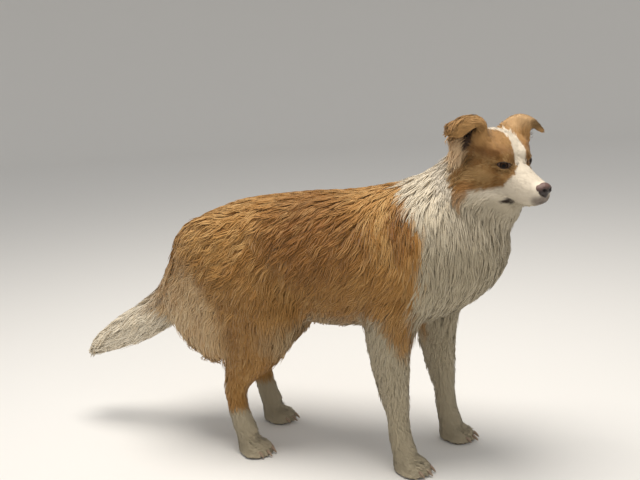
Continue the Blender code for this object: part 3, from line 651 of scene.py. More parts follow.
def nosePiece():
    points, faces = readMesh(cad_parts["nose"].data)
    made = makeObject("noseLeather", makeMesh("nose draft", points, faces))
    remesh = made.modifiers.new("fine", "REMESH")
    remesh.mode = "VOXEL"
    remesh.voxel_size = noseShape["voxel"]
    graph = bpy.context.evaluated_depsgraph_get()
    mesh = bpy.data.meshes.new_from_object(made.evaluated_get(graph))
    made.modifiers.clear()
    points, faces = readMesh(mesh)
    edges = edgesOf(faces)
    points = smoothed(points, edges, noseShape["softening"])
    normals = smoothed(pointNormals(points, faces), edges, 8)
    local = mirroredHead(points)
    hollow = np.zeros(len(points))
    for line, width, deep in nostrils.values():
        gap, _ = fromLine(local, line)
        hollow = np.maximum(hollow, deep * hump(gap, width))
    points = points - hollow[:, None] * unit(normals)
    points = smoothed(points, edges, 1)
    made.data = makeMesh("noseLeather", points, faces)
    # how dark the nostrils are painted, as shadow in their hollows
    dark = made.data.attributes.new("hollow", "FLOAT", "POINT")
    dark.data.foreach_set("value", np.clip(hollow / noseShape["darkFrom"], 0, 1).astype(np.float32))
    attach(made, "root")
    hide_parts("nose")
    return made


clawShape = {
    "around": 14, "rings": 12, "radius": 0.0031, "tip": 0.0001, "bend": 0.0030, "flatness": 0.8,
    "floorGap": 0.0004,
}


def claw(node):
    points, _ = readMesh(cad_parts[node].data)
    middle = points.mean(0)
    axis = np.linalg.svd(points - middle)[2][0]
    axis *= -np.sign(axis[2])  # down to the tip
    reach = (points - middle) @ axis
    across = unit(np.cross(axis, (0, 0, 1)))
    over = np.cross(across, axis)
    over *= np.sign(over[2])
    rings = []
    for step in range(clawShape["rings"] + 1):
        t = step / clawShape["rings"]
        radius = clawShape["radius"] * (1 - t ** 2) ** 0.6 + clawShape["tip"]
        centre = middle + axis * (reach.min() + t * (reach.max() - reach.min()))
        centre = centre - over * clawShape["bend"] * (t * t - 0.35)
        for k in range(clawShape["around"]):
            angle = 2 * pi * k / clawShape["around"]
            side = clawShape["flatness"] * cos(angle) * across
            rings.append(centre + radius * (side + sin(angle) * over))
    bm = bmesh.new()
    verts = [bm.verts.new(p) for p in rings]
    n = clawShape["around"]
    for ring in range(clawShape["rings"]):
        for k in range(n):
            a, b = ring * n + k, ring * n + (k + 1) % n
            bm.faces.new((verts[a], verts[b], verts[b + n], verts[a + n]))
    bm.faces.new(verts[:n])
    bm.faces.new(verts[-n:])
    bmesh.ops.recalc_face_normals(bm, faces=bm.faces[:])
    for v in bm.verts:
        v.co.z = max(v.co.z, clawShape["floorGap"])
    kind, side, number = node.split("_")
    mesh = bpy.data.meshes.new(node)
    bm.to_mesh(mesh)
    bm.free()
    mesh.shade_smooth()
    made = makeObject(f"{kind}{side.capitalize()}{number}", mesh)
    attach(made, "root")
    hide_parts(node)
    return made


eyes = []
for name, side in sides.items():
    eyes.append(eyeball(f"eye{name.capitalize()}", side))
    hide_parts(f"eye_{name}")
nose = nosePiece()
claws = [claw(node) for node in sorted(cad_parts) if "claw" in node]
print("eyes, nose and", len(claws), "claws made")


# the coat: locks are traced over the skin first, and each tuft then follows its lock

coatShape = {
    "seed": 7,
    "lockSpacing": 0.20,  # of the length of the hair
    "leastSpacing": 0.0042,
    "lockSteps": 9,
    "lengths": (0.80, 1.15),  # of single locks, as a share of the length there
    "heights": (0.88, 1.08),  # of their ends, as a share of the coat's depth
    "waveLength": 0.042,
    "wavesAlike": 45,  # how soon the waves of neighbours fall out of step, in radians for each metre
    "waveScatter": 2.2,  # how far out of step single locks are, in radians
    "swing": 0.16,  # how far single locks turn from the lie of the coat
    "layers": 5.8,  # how many tufts lie over each place
    "shortLayers": 1.9,
    "shortHair": 0.022,  # hair below this length is short, with fewer rings
    "shares": (0.62, 1.0),  # of its lock's length that a tuft has
    "gather": 0.20,  # how far a lock's tufts come together at the tip
    "under": 0.32,  # how far the lowest locks lie under the highest, as a share of their height
    "sink": 0.25,  # the same for single tufts
    "stray": 0.045,  # how far single tufts leave their lock, as a share of the length
    "twist": 0.45,
    "thickness": (0.9, 1.5),  # of single tufts, as a share of the width there
    "overOutline": 0.0025,
    "overShare": (-1.0, 1.6),  # from the lowest to the highest lock, as a share of it
    "floorGap": 0.0016,
    "flatness": 0.45,  # of a tuft, its height over its width
    "bakePatch": 0.0015,
    "sideLift": 0.012,  # lifts the places of locks off the skin, so that none is found through a thin part
}
# the outlines of a tuft: how far along, width
wavyTuft = ((0.0, 0.9), (0.24, 1.15), (0.5, 1.1), (0.78, 0.75), (1.0, 0.0))
straightTuft = ((0.0, 0.95), (0.33, 1.15), (0.7, 0.9), (1.0, 0.0))
shortTuft = ((0.0, 0.9), (0.5, 0.95), (1.0, 0.0))
wavyFrom = 0.0019  # hair with waves higher than this is wavy, in these pieces
wavyPieces = ("coatTrunk", "coatTail", "coatHind")
followsSkin = {"Short": 0.6, "Straight": 0.2, "Wavy": 0.15}  # how far the shading is the skin's


class Skin:
    def __init__(self, made, outer):
        self.points, self.faces = readMesh(made.data)
        self.normals = pointNormals(self.points, self.faces)
        self.tree = treeOf(self.points, self.faces)
        self.outerTree = treeOf(outer, self.faces)
        self.shell = (outer - self.points)[self.faces].mean(1)  # from the skin to the coat's outline
        a, b, c = (self.points[self.faces[:, k]] for k in range(3))
        self.area = np.linalg.norm(np.cross(b - a, c - a), axis=1) / 2
        self.middle = (a + b + c) / 3
        uv = np.empty(len(made.data.loops) * 2, np.float32)
        made.data.uv_layers["OFBake"].data.foreach_get("uv", uv)
        self.uv = uv.reshape(-1, 3, 2)
        self.order = self.neighbourOrder(0.002)

    def neighbourOrder(self, cell):
        # neighbouring triangles get neighbouring numbers, by mixing the bits of their places
        corner = ((self.middle - self.middle.min(0)) / cell).astype(np.int64)
        code = np.zeros(len(corner), np.int64)
        for bit in range(10):
            for axis in range(3):
                code |= ((corner[:, axis] >> bit) & 1) << (3 * bit + axis)
        return np.argsort(code, kind="stable")

    def scatter(self, random, density):
        # even steps along the summed weights of neighbouring triangles spread the places well
        summed = np.cumsum((self.area * density)[self.order])
        count = int(summed[-1])
        steps = (np.arange(count) + random.random(count)) / count * summed[-1]
        face = self.order[np.minimum(np.searchsorted(summed, steps), len(self.order) - 1)]
        r = np.sqrt(random.random(count))
        t = random.random(count)
        share = np.stack([1 - r, r * (1 - t), r * t], 1)
        corners = self.faces[face]
        place = (share[:, :, None] * self.points[corners]).sum(1)
        normal = unit((share[:, :, None] * self.normals[corners]).sum(1))
        return place, normal, face, (share[:, :, None] * self.uv[face]).sum(1)


bareShape = {
    "lips": (0.0014, 0.0040),  # beside where they meet: at the nose, and how much more at the corner
    "lipCorner": (0.5, 0.7),
    "nose": 1.25,
    "lids": 0.0012,
    "soles": 0.004,
    "lipSkin": (0.0011, 1.1),  # width of the dark skin of the lips, and its share of their parting
    "lidSkin": (0.0010, 0.0028),
    "padSkin": (0.002, 0.006),
}


def bare(places):
    # the eyes, the lips, the nose and the soles carry no hair
    local = mirroredHead(places)
    gap, share = fromLine(local, lipLine)
    least, more = bareShape["lips"]
    hairless = gap < least + more * smoothStep(*bareShape["lipCorner"], share)
    hairless |= fromNose(places) < bareShape["nose"]
    for side in sides.values():
        hairless |= rimDistance(places, side)[0] < bareShape["lids"]
    return hairless | (places[:, 2] < bareShape["soles"])


def traceLocks(hide, random):
    coat = combed(hide.middle)
    spacing = np.maximum(coatShape["lockSpacing"] * coat["long"], coatShape["leastSpacing"])
    place, normal, _, _ = hide.scatter(random, 1 / spacing ** 2)
    count = len(place)
    coat = combed(place)
    length = coat["long"] * random.uniform(*coatShape["lengths"], count)
    layer = random.uniform(*coatShape["heights"], count)
    over = coatShape["overOutline"] * random.uniform(*coatShape["overShare"], count)
    over = over * np.clip(coat["long"] / 0.03, 0.12, 1)  # short hair stays closer
    phase = coatShape["wavesAlike"] * (place[:, 0] + 0.7 * place[:, 2])
    phase = phase + random.uniform(0, coatShape["waveScatter"], count)
    swing = random.normal(0, coatShape["swing"], count)
    steps, waveLength = coatShape["lockSteps"], coatShape["waveLength"]
    path = np.empty((steps + 1, count, 3))
    up = np.empty((steps + 1, count, 3))
    path[0], up[0] = place, normal
    down = np.array((0, 0, -1.0))
    for k in range(1, steps + 1):
        s = k / steps
        here = combed(path[k - 1])
        n = up[k - 1]
        lie = unit(here["lie"] - (here["lie"] * n).sum(1)[:, None] * n)
        side = np.cross(n, lie)
        lie = unit(lie + swing[:, None] * side)
        hang = (coat["hang"] * s)[:, None]
        ahead = unit(lie * (1 - hang) + down * hang)
        wave = coat["wave"] * 2 * pi / waveLength * np.cos(2 * pi * s * length / waveLength + phase)
        ahead = unit(ahead + wave[:, None] * side)
        q = path[k - 1] + ahead * (length / steps)[:, None]
        # rises from the skin to its own height in the coat, and only hanging hair may leave it
        near, towards, face = nearestOn(hide.tree, q)
        shell = hide.shell[face]
        height = ((q - near) * towards).sum(1)
        wanted = np.linalg.norm(shell, axis=1) * layer * (1 - (1 - s) ** 3.0)
        height = wanted + np.maximum(height - wanted, 0) * np.clip(1.4 * hang[:, 0], 0, 1)
        q = near + unit(shell + 0.0006 * towards) * np.maximum(height, 0.0003)[:, None]
        outline, outwards, _ = nearestOn(hide.outerTree, q)
        proud = ((q - outline) * outwards).sum(1) - over
        q = q - outwards * np.maximum(proud, 0)[:, None]
        q[:, 2] = np.maximum(q[:, 2], coatShape["floorGap"])
        path[k] = q
        turned = (towards * n).sum(1)[:, None] < 0.25  # past an edge the lock keeps its own up
        up[k] = np.where(turned, n, unit(0.5 * n + 0.5 * towards))
    return {"path": path, "up": up, "length": length, "tone": random.random(count),
            "rank": random.random(count), "key": place + coatShape["sideLift"] * normal}


def nearestLock(locks, places):
    tree = KDTree(len(locks["key"]))
    for k, point in enumerate(locks["key"].tolist()):
        tree.insert(point, k)
    tree.balance()
    return np.array([tree.find(p)[1] for p in places.tolist()])


def growTufts(hide, locks, random):
    coat = combed(hide.middle)
    short = coat["long"] < coatShape["shortHair"]
    layers = np.where(short, coatShape["shortLayers"], coatShape["layers"])
    density = layers / (coat["long"] * coat["width"] * 0.6)  # a tapered tuft covers that share of its box
    place, normal, _, uv = hide.scatter(random, density)
    keep = ~bare(place)
    place, normal, uv = place[keep], normal[keep], uv[keep]
    count = len(place)
    coat = combed(place)
    lock = nearestLock(locks, place + coatShape["sideLift"] * normal)
    _, _, outlineFace = nearestOn(outlineTree, place)
    return {
        "place": place, "uv": uv, "lock": lock, "width": coat["width"], "part": outlineLabels[outlineFace],
        "short": coat["long"] < coatShape["shortHair"], "wavy": coat["wave"] > wavyFrom,
        "share": random.uniform(*coatShape["shares"], count),
        "sink": locks["rank"][lock] * coatShape["under"] + random.random(count) * coatShape["sink"],
        "tone": np.clip(locks["tone"][lock] * 0.7 + random.random(count) * 0.3, 0, 1),
        "gather": coatShape["gather"] * random.uniform(0.6, 1.15, count),
        "stray": random.normal(0, coatShape["stray"], count) * coat["long"],
        "twist": random.uniform(-coatShape["twist"], coatShape["twist"], count),
        "thick": random.uniform(*coatShape["thickness"], count),
    }


def tuftLines(tufts, picked, locks, profile):
    # the middle line of each picked tuft along its lock, and which way is up on it
    lock, share = tufts["lock"][picked], tufts["share"][picked]
    root = locks["path"][0][lock]
    offset = tufts["place"][picked] - root
    steps = coatShape["lockSteps"]
    centres, ups = [], []
    for along, _ in profile:
        s = np.clip(along * share, 0, 1) * steps
        k = np.minimum(s.astype(int), steps - 1)
        t = (s - k)[:, None]
        centre = locks["path"][k, lock] * (1 - t) + locks["path"][k + 1, lock] * t
        up = unit(locks["up"][k, lock] * (1 - t) + locks["up"][k + 1, lock] * t)
        together = (tufts["gather"][picked] * (along * share) ** 1.2)[:, None]
        rise = ((centre - root) * up).sum(1)
        sink = (tufts["sink"][picked] * np.maximum(rise, 0))[:, None]
        ahead = unit(locks["path"][k + 1, lock] - locks["path"][k, lock])
        away = np.cross(up, ahead) * (tufts["stray"][picked] * (along * share) ** 1.5)[:, None]
        centres.append(centre + offset * (1 - together) - up * sink + away)
        ups.append(up)
    return np.stack(centres, 1), np.stack(ups, 1)


def alongLines(centres):
    ahead = np.empty_like(centres)
    ahead[:, 1:-1] = centres[:, 2:] - centres[:, :-2]
    ahead[:, 0] = centres[:, 1] - centres[:, 0]
    ahead[:, -1] = centres[:, -1] - centres[:, -2]
    return unit(ahead)


def tuftFaces(rings):
    # three sides, closed at the root and running out in a point
    faces = [(0, 2, 1)]
    for ring in range(rings - 2):
        for corner in range(3):
            a, b = 3 * ring + corner, 3 * ring + (corner + 1) % 3
            faces += [(a, b, b + 3), (a, b + 3, a + 3)]
    tip = 3 * (rings - 1)
    for corner in range(3):
        faces.append((tip - 3 + corner, tip - 3 + (corner + 1) % 3, tip))
    return np.array(faces)


def tuftMesh(name, tufts, picked, locks, profile, follow):
    # a three-sided tapering tuft on each picked root, all in one mesh
    centres, ups = tuftLines(tufts, picked, locks, profile)
    count, rings = centres.shape[:2]
    ahead = alongLines(centres)
    across = unit(np.cross(ups, ahead))
    over = np.cross(ahead, across)
    width = tufts["width"][picked] * tufts["thick"][picked]
    points, alongs, normals, bakePlaces = [], [], [], []
    for ring, (along, wide) in enumerate(profile):
        last = ring == rings - 1
        for corner in range(1 if last else 3):
            third = 2 * pi * corner / 3
            angle = third - pi / 2 + tufts["twist"][picked]  # the first corner points down to the skin
            out = across[:, ring] * np.cos(angle)[:, None]
            out = out + coatShape["flatness"] * over[:, ring] * np.sin(angle)[:, None]
            points.append(centres[:, ring] + out * (0.5 * wide * width)[:, None])
            mixed = unit(out) * (1 - follow) + ups[:, ring] * follow
            normals.append(unit(ahead[:, ring] + ups[:, ring]) if last else unit(mixed))
            alongs.append(np.full(count, along))
            reach = coatShape["bakePatch"] * (1 - along)
            bakePlaces.append((reach * cos(third), reach * sin(third)))
    perTuft = len(points)
    faces = tuftFaces(rings)
    everyFace = (faces[None] + perTuft * np.arange(count)[:, None, None]).reshape(-1, 3)
    mesh = makeMesh(name, np.stack(points, 1).reshape(-1, 3), everyFace)
    # each tuft gets a small patch of the bake map at its root's place on the skin, the closed root beside it
    corners = np.array(bakePlaces)[faces].reshape(-1, 2)
    corners[:3] = corners[:3] * 0.05 + (1.4 * coatShape["bakePatch"], 0)
    uv = tufts["uv"][picked][:, None] + corners[None]
    mesh.uv_layers.new(name="OFBake")
    mesh.uv_layers["OFBake"].data.foreach_set("uv", uv.astype(np.float32).ravel())
    looks = (("rootPlace", "FLOAT_VECTOR", "vector", np.repeat(tufts["place"][picked], perTuft, 0)),
             ("custom_normal", "FLOAT_VECTOR", "vector", np.stack(normals, 1)),
             ("along", "FLOAT", "value", np.stack(alongs, 1)),
             ("tone", "FLOAT", "value", np.repeat(tufts["tone"][picked], perTuft)))
    for label, kind, field, values in looks:
        data = mesh.attributes.new(label, kind, "POINT")
        data.data.foreach_set(field, values.astype(np.float32).ravel())
    return mesh


coatPieces = {
    "coatHead": ("head",), "coatEars": ("ear_left", "ear_right"), "coatNeck": ("neck",),
    "coatTrunk": ("trunk",), "coatTail": ("tail", "tail_tip"),
    "coatHind": ("thigh_left", "thigh_right", "hindleg_lower_left", "hindleg_lower_right",
                 "hindpaw_left", "hindpaw_right"),
    "coatFore": ("foreleg_left", "foreleg_right", "forepaw_left", "forepaw_right"),
}
mostTriangles = 185000  # in one piece of coat


def makeCoat(hide):
    random = np.random.default_rng(coatShape["seed"])
    locks = traceLocks(hide, random)
    print("locks traced:", len(locks["length"]))
    tufts = growTufts(hide, locks, random)
    print("tufts:", len(tufts["share"]), "of which short:", int(tufts["short"].sum()))
    made, total = [], 0
    for piece, parts in coatPieces.items():
        inPiece = np.isin(tufts["part"], [flesh.index(p) for p in parts])
        wavy = tufts["wavy"] & (piece in wavyPieces)
        kinds = (("Short", shortTuft, tufts["short"]),
                 ("Straight", straightTuft, ~tufts["short"] & ~wavy),
                 ("Wavy", wavyTuft, ~tufts["short"] & wavy))
        for kind, profile, mask in kinds:
            picked = np.flatnonzero(inPiece & mask)
            if not len(picked):
                continue
            triangles = len(picked) * len(tuftFaces(len(profile)))
            picked = picked[np.argsort(tufts["place"][picked, 0], kind="stable")]
            for number, part in enumerate(np.array_split(picked, -(-triangles // mostTriangles)), 1):
                name = f"{piece}{kind}{number}"
                coat = makeObject(name, tuftMesh(name, tufts, part, locks, profile, followsSkin[kind]))
                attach(coat, "root")
                made.append(coat)
                total += len(coat.data.polygons)
                print(name, len(part), "tufts", len(coat.data.polygons), "triangles")
    print("coat:", total, "triangles in", len(made), "pieces")
    return made


hide = Skin(skin, outerPoints)
lipLine = onHead(mouthLine, hide.tree)
coats = makeCoat(hide)


# the paints: markings, painted light and painted shade are worked out from the place on the body, for the
# skin and the coat alike

class Wire:
    # a socket that sums can be written with
    def __init__(self, tree, socket=None):
        self.tree, self.socket = tree, socket

    def make(self, kind, settings=(), values=(), output=0):
        node = self.tree.nodes.new(kind)
        for name, value in dict(settings).items():
            setattr(node, name, value)
        for name, value in dict(values).items():
            if isinstance(value, Wire):
                self.tree.links.new(value.socket, node.inputs[name])
            else:
                node.inputs[name].default_value = value
        return Wire(self.tree, node.outputs[output])

    def maths(self, operation, *values):
        return self.make("ShaderNodeMath", {"operation": operation}, dict(enumerate(values)))

    def __add__(self, other):
        return self.maths("ADD", self, other)

    __radd__ = __add__

    def __sub__(self, other):
        return self.maths("SUBTRACT", self, other)

    def __rsub__(self, other):
        return self.maths("SUBTRACT", other, self)

    def __mul__(self, other):
        return self.maths("MULTIPLY", self, other)

    __rmul__ = __mul__

    def __abs__(self):
        return self.maths("ABSOLUTE", self)

    def greater(self, other):
        return self.maths("MAXIMUM", self, other)

    def step(self, low, high):
        # 0 below low and 1 above high, soft between
        return self.make("ShaderNodeMapRange", {"interpolation_type": "SMOOTHSTEP"},
                         {0: self, 1: low, 2: high})

    def axis(self, direction):
        return self.make("ShaderNodeVectorMath", {"operation": "DOT_PRODUCT"}, {0: self, 1: direction}, 1)

    def mix(self, share, first, second):
        # the first colour where share is 0, the second where it is 1
        return self.make("ShaderNodeMix", {"data_type": "RGBA"}, {0: share, 6: first, 7: second}, 2)

    def colour(self, other, share):
        return self.mix(share, self, other)

    def noise(self, scale, detail=2.0):
        return self.make("ShaderNodeTexNoise", {}, {"Vector": self, "Scale": scale, "Detail": detail})

    def ragged(self, scale, reach):
        # uneven edges, up to half the reach either way
        return (self.noise(scale) - 0.5) * reach


finishes = {
    "long coat": {"Roughness": 0.62, "Specular IOR Level": 0.25,
                  "Sheen Weight": 0.12, "Sheen Roughness": 0.5},
    "short coat and skin": {"Roughness": 0.7},
    "eye": {"Roughness": 0.16, "Specular IOR Level": 0.10},
    "nose leather": {"Roughness": 0.38},
    "claw horn": {"Roughness": 0.35},
    "pale floor": {"Roughness": 0.9},
}


def newPaint(name):
    paint = bpy.data.materials.new(name)
    paint.use_nodes = True
    shader = paint.node_tree.nodes["Principled BSDF"]
    for socket, value in finishes[name].items():
        shader.inputs[socket].default_value = value
    return paint, Wire(paint.node_tree), shader


def feed(wire, shader, socket):
    wire.tree.links.new(wire.socket, shader.inputs[socket])


def attribute(wire, name, output):
    return wire.make("ShaderNodeAttribute", {"attribute_name": name}, (), output)


coatColours = {
    "gold": (0.50, 0.240, 0.056, 1),
    "goldRoot": (0.47, 0.225, 0.060, 1),
    "goldLow": (0.27, 0.135, 0.032, 1),
    "paleGold": (0.66, 0.40, 0.15, 1),
    "rust": (0.23, 0.080, 0.009, 1),
    "cream": (0.76, 0.60, 0.38, 1),
    "bellyCream": (0.42, 0.32, 0.19, 1),
    "white": (0.92, 0.83, 0.67, 1),
    "whiteRoot": (0.90, 0.81, 0.66, 1),
    "whiteLow": (0.37, 0.31, 0.20, 1),
    "faceWhite": (0.73, 0.645, 0.52, 1),
    "faceGold": (0.25, 0.120, 0.030, 1),
    "faceLight": (0.41, 0.25, 0.098, 1),
    "faceRust": (0.25, 0.10, 0.022, 1),
    "templeRust": (0.18, 0.074, 0.015, 1),
    "lock": (0.40, 0.195, 0.058, 1),
    "earBack": (0.45, 0.25, 0.09, 1),
    "earInside": (0.84, 0.60, 0.36, 1),
    "earPale": (0.66, 0.43, 0.22, 1),
    "earShade": (0.15, 0.085, 0.025, 1),
    "canal": (0.035, 0.013, 0.005, 1),
    "lipGrey": (0.12, 0.085, 0.072, 1),
    "dark": (0.030, 0.016, 0.011, 1),
}
# where colours meet, and where painted light and shade begin, from one height or length to the other; places
# on the head are in its own frame
markingShape = {
    "ragged": (40.0, 0.030),  # fineness, and how far tufts of one colour run into the other
    "collar": (0.290, 0.44, 6.0, 1.0),  # x of its rear edge, at which height, its curve above and below
    "collarEdge": 0.010,
    "tail": (-0.33, -0.25),
    "feet": (0.085, 0.105),
    "belly": (0.262, 0.300),
    "bellyHalfWidth": (0.03, 0.06),
    "foreleg": (0.155, 0.175),
    "forelegTop": (0.29, 0.325),
    "goldLow": (0.34, 0.52),  # below these the coat darkens, as painted shade low on the body
    "whiteLow": (0.42, 0.56),
    "whiteTail": (-0.30, -0.22),  # behind these the white gets no painted shade
    "backLight": (0.46, 0.54),
    "headEdge": (1.25, 1.45),
    "ears": (0.018, 0.030),
    "earsRear": (-0.125, -0.115),
    "headRagged": (130.0, 0.006),
    "cheekRagged": (70.0, 0.012),
    "blaze": (0.0105, 0.0135),  # half widths
    "blazeWidens": (0.016, 0.7),  # ahead of this place, by this much for each metre
    "blazeBend": (0.0125, -0.024, 0.038),  # how far it swings to the left, where most, over what reach
    "muzzle": (0.031626, 0.514),  # x of its edge at the height of the eyes, its lean
    "muzzleEdge": 0.003,
    "lowFace": (-0.0412462, 0.337),  # height of its edge between the eyes, its rise towards the nose
    "lowFaceEdge": 0.005,
    "cheekRear": (-0.100, -0.95),  # x of its edge at the height of the eyes, its lean
    "cheekRearEdge": 0.006,
    "shadedJaw": (-0.070, -0.040),
}
# softly edged patches on both sides: middle, radii
bodyPatches = {
    "rust": ((0.090, 0.11, 0.44), (0.110, 0.30, 0.075)),
    "shoulder": ((0.252, 0.11, 0.480), (0.026, 0.10, 0.045)),
    "rump": ((-0.150, 0.0, 0.455), (0.080, 0.30, 0.055)),
    "crease": ((0.228, 0.11, 0.443), (0.014, 0.10, 0.024)),
    "thigh": ((-0.030, 0.10, 0.36), (0.060, 0.10, 0.060)),
    "breeches": ((-0.190, 0.0, 0.275), (0.085, 0.3, 0.12)),
    "low belly": ((0.100, 0.0, 0.255), (0.130, 0.3, 0.052)),
    "foreleg": ((0.253, 0.0, 0.305), (0.028, 0.2, 0.085)),
}
# the same on the head, with the colour and its share
headPatches = {
    "rusty cheek": ((-0.048, 0.050, -0.048), (0.024, 0.030, 0.011), "faceRust", 0.7),
    "temple": ((-0.024, 0.042, 0.030), (0.036, 0.034, 0.022), "templeRust", 0.9),
    "pale cheek": ((-0.030, 0.050, -0.024), (0.026, 0.030, 0.011), "faceLight", 0.75),
    "below the ear": ((-0.088, 0.062, -0.022), (0.016, 0.030, 0.030), "cream", 0.8),
    "inside the ear": ((-0.086, 0.060, 0.014), (0.022, 0.022, 0.024), "earInside", 1),
    # painted shadow in the opening of the ear
    "canal": ((-0.066, 0.052, 0.028), (0.011, 0.018, 0.016), "canal", 1),
    "left ear": ((-0.055, 0.050, 0.062), (0.034, 0.034, 0.026), "earPale", 0.8),  # these two on the left only; the far ear is painted paler, partly its pale hair and partly painted light where it is lit
    "under the left ear": ((-0.036, 0.070, 0.050), (0.018, 0.018, 0.010), "earShade", 1),
    # painted shade under the nose
    "under the nose": ((0.074, 0.0, -0.048), (0.014, 0.022, 0.013), "lipGrey", 0.8),
    "lock": ((-0.040, 0.078, -0.054), (0.010, 0.030, 0.018), "lock", 0.8),
    "mouth": ((0.0195, 0.0265, -0.0650), (0.0125, 0.012, 0.0036), "dark", 1),
}


def axesOf(place):
    return [place.axis(direction) for direction in ((1, 0, 0), (0, 1, 0), (0, 0, 1))]


def headAxes(place):
    rows = headTurn.T / headShape["scale"]
    return [place.axis(tuple(row)) - float(headPlace @ row) for row in rows]


def eggShape(axes, middles, radii):
    # below 1 inside it
    total = 0
    for axis, middle, radius in zip(axes, middles, radii):
        part = (axis - middle) * (1 / radius)
        total = part * part + total
    return total


def patch(axes, middle, radii):
    # 1 in the middle of an egg shape on both sides, 0 outside it
    return 1 - eggShape((axes[0], abs(axes[1]), axes[2]), middle, radii).step(0.25, 1.6)


def onBody(axes, name):
    return patch(axes, *bodyPatches[name])


def patched(colour, axes, names, strength=1):
    # the colour with these patches of the head laid over it, in this order
    for name in names:
        middle, radii, shade, share = headPatches[name]
        colour = colour.colour(coatColours[shade], patch(axes, middle, radii) * strength * share)
    return colour


def whiteOnHead(place, axes):
    x, y, z = axes
    fine = place.ragged(*markingShape["headRagged"])
    swing, most, reach = markingShape["blazeBend"]
    along = (x - most) * (1 / reach)
    side = abs(y - (1 - along * along).greater(0.0) * swing)
    start, widening = markingShape["blazeWidens"]
    blaze = 1 - (side + fine - (x - start).greater(0.0) * widening).step(*markingShape["blaze"])
    edge, lean = markingShape["muzzle"]
    soft = markingShape["muzzleEdge"]
    muzzle = (x + fine - z * lean).step(edge - soft, edge + soft)
    edge, rise = markingShape["lowFace"]
    soft = markingShape["lowFaceEdge"]
    lowFace = 1 - (z + fine - x * rise).step(edge - soft, edge + soft)
    edge, lean = markingShape["cheekRear"]
    soft = markingShape["cheekRearEdge"]
    rear = x - z * lean + place.ragged(*markingShape["cheekRagged"])
    behind = 1 - rear.step(edge - soft, edge + soft)
    white = blaze.greater(muzzle).greater(lowFace).greater(behind)
    return white * (1 - z.step(*markingShape["ears"]) * (1 - blaze))


def whiteOnBody(place, axes):
    x, y, z = axes
    ragged = place.ragged(*markingShape["ragged"])
    edge, height, above, below = markingShape["collar"]
    soft = markingShape["collarEdge"]
    over, under = (z - height).greater(0.0), (height - z).greater(0.0)
    curved = x + ragged + over * over * above + under * under * below
    collar = curved.step(edge - soft, edge + soft)
    tail = 1 - (x + ragged * 2).step(*markingShape["tail"])
    paws = 1 - (z + ragged * 0.5).step(*markingShape["feet"])
    middle = 1 - abs(y).step(*markingShape["bellyHalfWidth"])
    belly = (1 - (z + ragged).step(*markingShape["belly"])) * middle
    foreLeg = x.step(*markingShape["foreleg"]) * (1 - (z + ragged).step(*markingShape["forelegTop"]))
    foreLeg = foreLeg * (1 - onBody(axes, "foreleg"))
    return collar.greater(foreLeg).greater(tail).greater(paws).greater(belly)


def headPart(axes):
    # 1 on the head with its ears, 0 elsewhere
    ears = axes[2].step(*markingShape["ears"]) * axes[0].step(*markingShape["earsRear"])
    inside = 1 - eggShape(axes, headShape["middle"], headShape["radii"]).step(*markingShape["headEdge"])
    return inside.greater(ears)


def goldOnBody(place, tone, body):
    paint = coatColours
    pale = (place.ragged(24.0, 0.9) + tone * 0.7).step(0.05, 0.85)
    gold = place.mix(pale, paint["gold"], paint["paleGold"])
    # painted light: the top of the back is paler, as if lit from above
    gold = gold.colour(paint["paleGold"], body[2].step(*markingShape["backLight"]) * 0.30)
    rusty = onBody(body, "rust").greater(onBody(body, "shoulder")).greater(onBody(body, "thigh") * 0.3)
    gold = gold.colour(paint["rust"], rusty * (0.90 - tone * 0.35))
    light = onBody(body, "rump").greater(onBody(body, "crease"))
    gold = gold.colour(paint["paleGold"], light * 0.45)
    creamy = onBody(body, "breeches")
    # painted shade: low on the body the gold darkens, as if in shadow under it
    low = (1 - body[2].step(*markingShape["goldLow"])) * (1 - creamy)
    gold = gold.colour(paint["goldLow"], low * (0.75 - tone * 0.3))
    gold = gold.colour(paint["cream"], creamy * (0.40 + tone * 0.45))
    # the belly fringe is cream, painted darker as shade under the body
    return gold.colour(paint["bellyCream"], onBody(body, "low belly") * (0.5 + tone * 0.4))


def goldOnHead(place, tone, head):
    paint = coatColours
    fleck = (place.ragged(45.0, 1.5) + tone * 0.8).step(0.1, 0.9)
    face = place.mix(fleck, paint["faceGold"], paint["faceLight"])
    face = patched(face, head, ("rusty cheek", "temple", "pale cheek"))
    face = patched(face, head, ("below the ear",), tone.step(0.25, 0.85))
    face = face.colour(paint["earBack"], head[2].step(*markingShape["ears"]) * 0.8)
    face = patched(face, head, ("inside the ear", "canal"))
    leftOnly = (head[0], head[1].greater(0.0), head[2])
    return patched(face, leftOnly, ("left ear", "under the left ear"))


def whiteCoat(place, tone, along, body, head, onHead):
    paint = coatColours
    white = place.mix(tone * 0.35, paint["white"], paint["cream"])
    white = white.colour(paint["whiteRoot"], (1 - along) * 0.5)
    # painted shade on the white: under the jaw and low on the body it darkens, as if in shadow
    jaw = (1 - head[2].step(*markingShape["shadedJaw"])) * 0.85
    low = (1 - body[2].step(*markingShape["whiteLow"])) * body[0].step(*markingShape["whiteTail"])
    white = white.colour(paint["whiteLow"], (low + (jaw - low) * onHead) * 0.8)
    return white.colour(paint["faceWhite"], onHead * (1 - jaw) * 0.9)


def coatColour(place, tone, along):
    # tone differs from tuft to tuft, and along is 0 at the root
    body, head = axesOf(place), headAxes(place)
    onHead, whiteBody = headPart(head), whiteOnBody(place, body)
    isWhite = whiteBody + (whiteOnHead(place, head) - whiteBody) * onHead
    face = goldOnHead(place, tone, head)
    gold = goldOnBody(place, tone, body).colour(face, onHead)
    gold = gold.colour(coatColours["goldRoot"], (1 - along) * 0.35)
    gold = gold.colour(face, onHead * 0.8)
    whole = gold.colour(whiteCoat(place, tone, along, body, head, onHead), isWhite)
    return patched(whole, head, ("under the nose", "lock", "mouth"))


